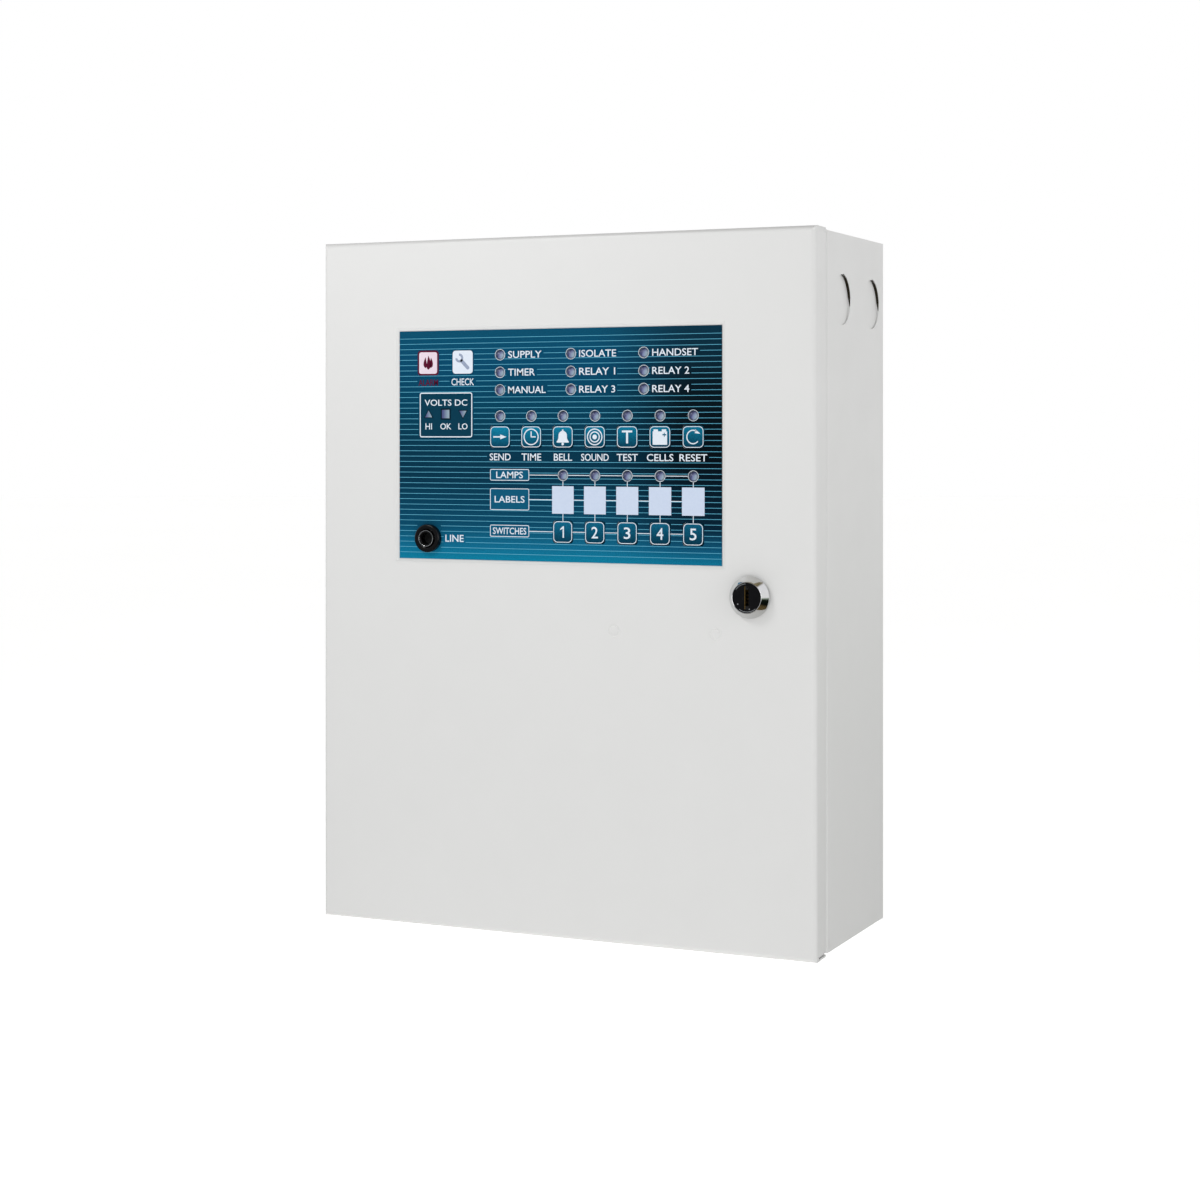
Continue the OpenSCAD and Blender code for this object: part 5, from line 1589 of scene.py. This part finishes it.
class FIREPANEL_OT_wiring(bpy.types.Operator):
    """Battery leads, mains leads, and the loom and earth bond that cross the hinge"""
    bl_idname = "fire_panel.wiring"
    bl_label = "Wiring"

    def execute(self, context):
        red = pvc("red_pvc", "#b3201f", "#a01b1b")
        black = pvc("black_pvc", "#161616", "#1f1f1f")
        brown = pvc("brown_pvc", "#6b3d1e", "#5f351a")
        blue = pvc("blue_pvc", "#1f5fb0", "#1b55a0")
        yellow = pvc("yellow_pvc", "#d8b321", "#cba61d")
        grey = pvc("grey_loom_sleeve", "#4a4c4f", "#3f4144")
        bond = pvc("green_yellow_pvc", "#2c8a3a", "#d9cf2e", 5)
        tin_plate = MADE["tinned_solder"]
        wire("battery_lead_red", "cabinet", RED_ROUTE, 1.6, red, "lead_sleeve", "battery_leads")
        wire("battery_lead_black", "cabinet", BLACK_ROUTE, 1.6, black, "lead_sleeve")
        wire("battery_link", "cabinet", LINK_ROUTE, 1.6, black, "lead_sleeve")
        wire("live_lead", "cabinet", LIVE_ROUTE, 1.4, brown, "lead_sleeve", "supply_leads")
        wire("neutral_lead", "cabinet", NEUTRAL_ROUTE, 1.4, blue, "lead_sleeve")
        wire("secondary_lead", "cabinet", SUPPLY_ROUTE, 1.4, yellow, "lead_sleeve")

        # Push-on covers over the battery tabs, and plug housings on the charger board
        black_ends = [BLACK_ROUTE[0], LINK_ROUTE[0], LINK_ROUTE[-1]]
        for name, ends, material in (("red_tab_covers", [RED_ROUTE[0]], red),
                                     ("black_tab_covers", black_ends, black)):
            bm = bmesh.new()
            for x, y, z in ends:
                block(bm, (x, z - 3.6), (7.6, 10.5), y - 2.6, y + 2.6, 1.2)
            ease(bm, 0.6, 3, 40)
            finish(bm, name, "cabinet", material, "lead_sleeve")
        plugs = bmesh.new()
        for low, high in solids("charger_connectors"):
            block(plugs, place_of((low, high)), (high.x - low.x - 2.4, high.z - low.z - 2.4), low.y - 1.0,
                  low.y + 6.5)
        ease(plugs, 0.3, 2, 40)
        finish(plugs, "charger_plugs", "cabinet", MADE["cream_nylon"], "terminal_plastic")
        low, high = solids("board_connectors")[0]
        plug = bmesh.new()
        block(plug, place_of((low, high)), (high.x - low.x - 2.4, high.z - low.z - 2.4), high.y - 6.5,
              high.y + 0.4)
        ease(plug, 0.3, 2, 40)
        finish(plug, "loom_plug", "door", MADE["cream_nylon"], "terminal_plastic")

        # The loom and the bond run between the cabinet and the door and ride on no body
        loom = wire("hinge_loom", None, LOOM_ROUTE, 3.4, grey, "lead_sleeve")
        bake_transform(loom)
        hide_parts("door_loom")
        earth = wire("hinge_bond", None, BOND_ROUTE, 1.6, bond, "lead_sleeve")
        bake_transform(earth)

        # Ring lugs of the bond, on the door and on the back wall
        inside_door = span("door_shell")[0] + 1.2
        for name, body, spot, seat, out in (("door_bond_lug", "door", BOND_ROUTE[0], inside_door, 1),
                                            ("wall_bond_lug", "cabinet", BOND_ROUTE[-1], -1.2, -1)):
            bm = bmesh.new()
            at = (spot[0], spot[2])
            turned(bm, at, [(0.0, seat), (4.2, seat), (4.2, seat + out * 0.9), (0.0, seat + out * 0.9)], 28)
            rod(bm, at, 2.1, 2.1, *sorted((seat, seat + out * 4.5)), 20)
            ease(bm, 0.2, 2, 40)
            finish(bm, name, body, tin_plate, "zinc_plate")

        # Cable tie round the mains leads
        ties = bmesh.new()
        (left, y, z), (right, *_) = LIVE_ROUTE[3], NEUTRAL_ROUTE[3]
        centre = ((left + right) / 2, z)
        reach = (right - left) / 2 + 2.3
        block(ties, centre, (2 * reach, 2.6), y - 2.1, y - 1.5, 0.3)
        block(ties, centre, (2 * reach, 2.6), y + 1.5, y + 2.1, 0.3)
        for side in (-1, 1):
            block(ties, shifted(centre, side * reach), (0.7, 2.6), y - 2.1, y + 2.1)
        block(ties, shifted(centre, reach), (3.2, 4.0), y - 4.0, y - 1.6, 0.4)
        finish(ties, "cable_ties", "cabinet", MADE["cream_nylon"], "terminal_plastic")
        return {"FINISHED"}


# ---- Stage ----

# The camera is level and turned to see the right side; its frame is shifted so that the panel stands inside
CAMERA_PLACE = (0.5379, -1.2612, 0.0834)
CAMERA_TURN = 24.2455
CAMERA_SHIFT = -0.1382
LIGHT_AIM = Vector((0, -0.06, 0))
FLOOR_GLOW = 0.61             # keeps the floor as pale as the backdrop


class FIREPANEL_OT_stage(bpy.types.Operator):
    """Pale floor, soft light and the camera"""
    bl_idname = "fire_panel.stage"
    bl_label = "Stage"

    def execute(self, context):
        settings = context.scene.stage_settings
        scene = context.scene
        floor_z = CAD_BOX[0].z - 0.001
        bm = bmesh.new()
        bmesh.ops.create_circle(bm, cap_ends=True, segments=96, radius=9.0,
                                matrix=Matrix.Translation((0, 0, floor_z)))
        mesh = bpy.data.meshes.new("studio_floor")
        bm.to_mesh(mesh)
        bm.free()
        mesh.materials.append(surface("matt_studio_floor", settings.floor, settings.floor, patch_mm=400,
                                      roughness=(0.8, 0.9), grain_mm=20, relief_mm=0.0,
                                      **{"Emission Color": (1, 1, 1, 1), "Emission Strength": FLOOR_GLOW}))
        floor = bpy.data.objects.new("studio_floor", mesh)
        scene.collection.objects.link(floor)
        floor.visible_glossy = False

        world = bpy.data.worlds.new("studio")
        scene.world = world
        world.use_nodes = True
        tree = world.node_tree
        tree.nodes.clear()
        ray = add(tree, "ShaderNodeLightPath")
        seen = add(tree, "ShaderNodeTexCoord").outputs["Generated"]
        way = add(tree, "ShaderNodeSeparateXYZ", {"Vector": seen})
        # Reflections see a room with dark and bright bands, and a dark space behind the camera
        height = add(tree, "ShaderNodeMapRange", {"Value": way.outputs["Z"], "From Min": -1.0})
        bands = add(tree, "ShaderNodeValToRGB", {"Fac": height.outputs["Result"]}, [
            (0.0, linear("#6b5b3a")), (1.0, linear("#9a9178")), (0.18, linear("#57492e")),
            (0.24, linear("#0a0c0b")), (0.40, linear("#141b14")), (0.45, linear("#8f9c8c")),
            (0.49, linear("#ffffff")), (0.89, linear("#fbfbff")), (0.93, linear("#7a6f50"))])
        behind = add(tree, "ShaderNodeMapRange", {"Value": way.outputs["Y"], "From Min": -0.85,
                                                 "From Max": -0.4})
        room = add(tree, "ShaderNodeMix", {0: behind.outputs["Result"], 6: linear("#a2a5a8"),
                                           7: bands.outputs["Color"]}, data_type="RGBA")
        even = add(tree, "ShaderNodeMix", {0: ray.outputs["Is Glossy Ray"], 6: (settings.sky,) * 3 + (1,),
                                           7: room.outputs[2]}, data_type="RGBA")
        shown = add(tree, "ShaderNodeMix", {0: ray.outputs["Is Camera Ray"], 6: even.outputs[2],
                                            7: (1, 1, 1, 1)}, data_type="RGBA")
        light = add(tree, "ShaderNodeBackground", {"Color": shown.outputs[2], "Strength": 1.0})
        add(tree, "ShaderNodeOutputWorld", {"Surface": light.outputs["Background"]})

        for name, power, size, spot in (
                ("key", settings.key_power, (0.2, 0.2), (-0.23, -0.56, 0.43)),
                ("fill", settings.fill_power, (0.3, 0.3), (0.25, -0.82, 0.03)),
                ("rim", settings.rim_power, (0.35, 1.4), (1.5, -0.55, 0.25))):
            light = bpy.data.lights.new(name, "AREA")
            light.shape = "RECTANGLE"
            light.size, light.size_y = size
            light.energy = power
            lamp = bpy.data.objects.new(name, light)
            lamp.location = spot
            lamp.rotation_euler = (LIGHT_AIM - lamp.location).to_track_quat("-Z", "Y").to_euler()
            scene.collection.objects.link(lamp)

        view = bpy.data.cameras.new("camera")
        view.lens = settings.lens
        view.sensor_width = 36.0
        view.shift_y = CAMERA_SHIFT
        view.clip_start = 0.05
        camera = bpy.data.objects.new("camera", view)
        camera.location = CAMERA_PLACE
        camera.rotation_euler = (math.radians(90), 0, math.radians(CAMERA_TURN))
        scene.collection.objects.link(camera)
        scene.camera = camera
        scene.view_settings.view_transform = "Standard"
        return {"FINISHED"}


# ---- Add-on ----

PIECE_OPERATORS = (
    FIREPANEL_OT_stage, FIREPANEL_OT_door, FIREPANEL_OT_overlay, FIREPANEL_OT_keys, FIREPANEL_OT_indicators,
    FIREPANEL_OT_windows, FIREPANEL_OT_labels, FIREPANEL_OT_telephone, FIREPANEL_OT_lock, FIREPANEL_OT_hinges,
    FIREPANEL_OT_boards, FIREPANEL_OT_cabinet, FIREPANEL_OT_charger, FIREPANEL_OT_fuses,
    FIREPANEL_OT_transformer, FIREPANEL_OT_terminals, FIREPANEL_OT_batteries, FIREPANEL_OT_wiring,
)


class FIREPANEL_PT_pieces(bpy.types.Panel):
    """Lists the pieces of the control panel"""
    bl_idname = "FIREPANEL_PT_pieces"
    bl_label = "Fire alarm panel"
    bl_space_type = "VIEW_3D"
    bl_region_type = "UI"
    bl_category = "Fire Panel"

    def draw(self, context):
        for group in SETTINGS:
            box = self.layout.box()
            for name in SETTINGS[group].__annotations__:
                box.prop(getattr(context.scene, group), name)
        for operator in PIECE_OPERATORS:
            self.layout.operator(operator.bl_idname)


SETTINGS = {"coat_and_ink": CoatAndInk, "print_sizes": PrintSizes, "stage_settings": StageSettings}
CLASSES = (*SETTINGS.values(), *PIECE_OPERATORS, FIREPANEL_PT_pieces)


def register():
    for cls in CLASSES:
        bpy.utils.register_class(cls)
    for name, group in SETTINGS.items():
        setattr(bpy.types.Scene, name, PointerProperty(type=group))


def unregister():
    for name in SETTINGS:
        delattr(bpy.types.Scene, name)
    for cls in reversed(CLASSES):
        bpy.utils.unregister_class(cls)


def main():
    register()
    for operator in PIECE_OPERATORS:
        group, name = operator.bl_idname.split(".")
        if getattr(getattr(bpy.ops, group), name)() != {"FINISHED"}:
            raise RuntimeError(f"{operator.bl_label} was not finished")
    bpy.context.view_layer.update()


if __name__ == "__main__":
    main()
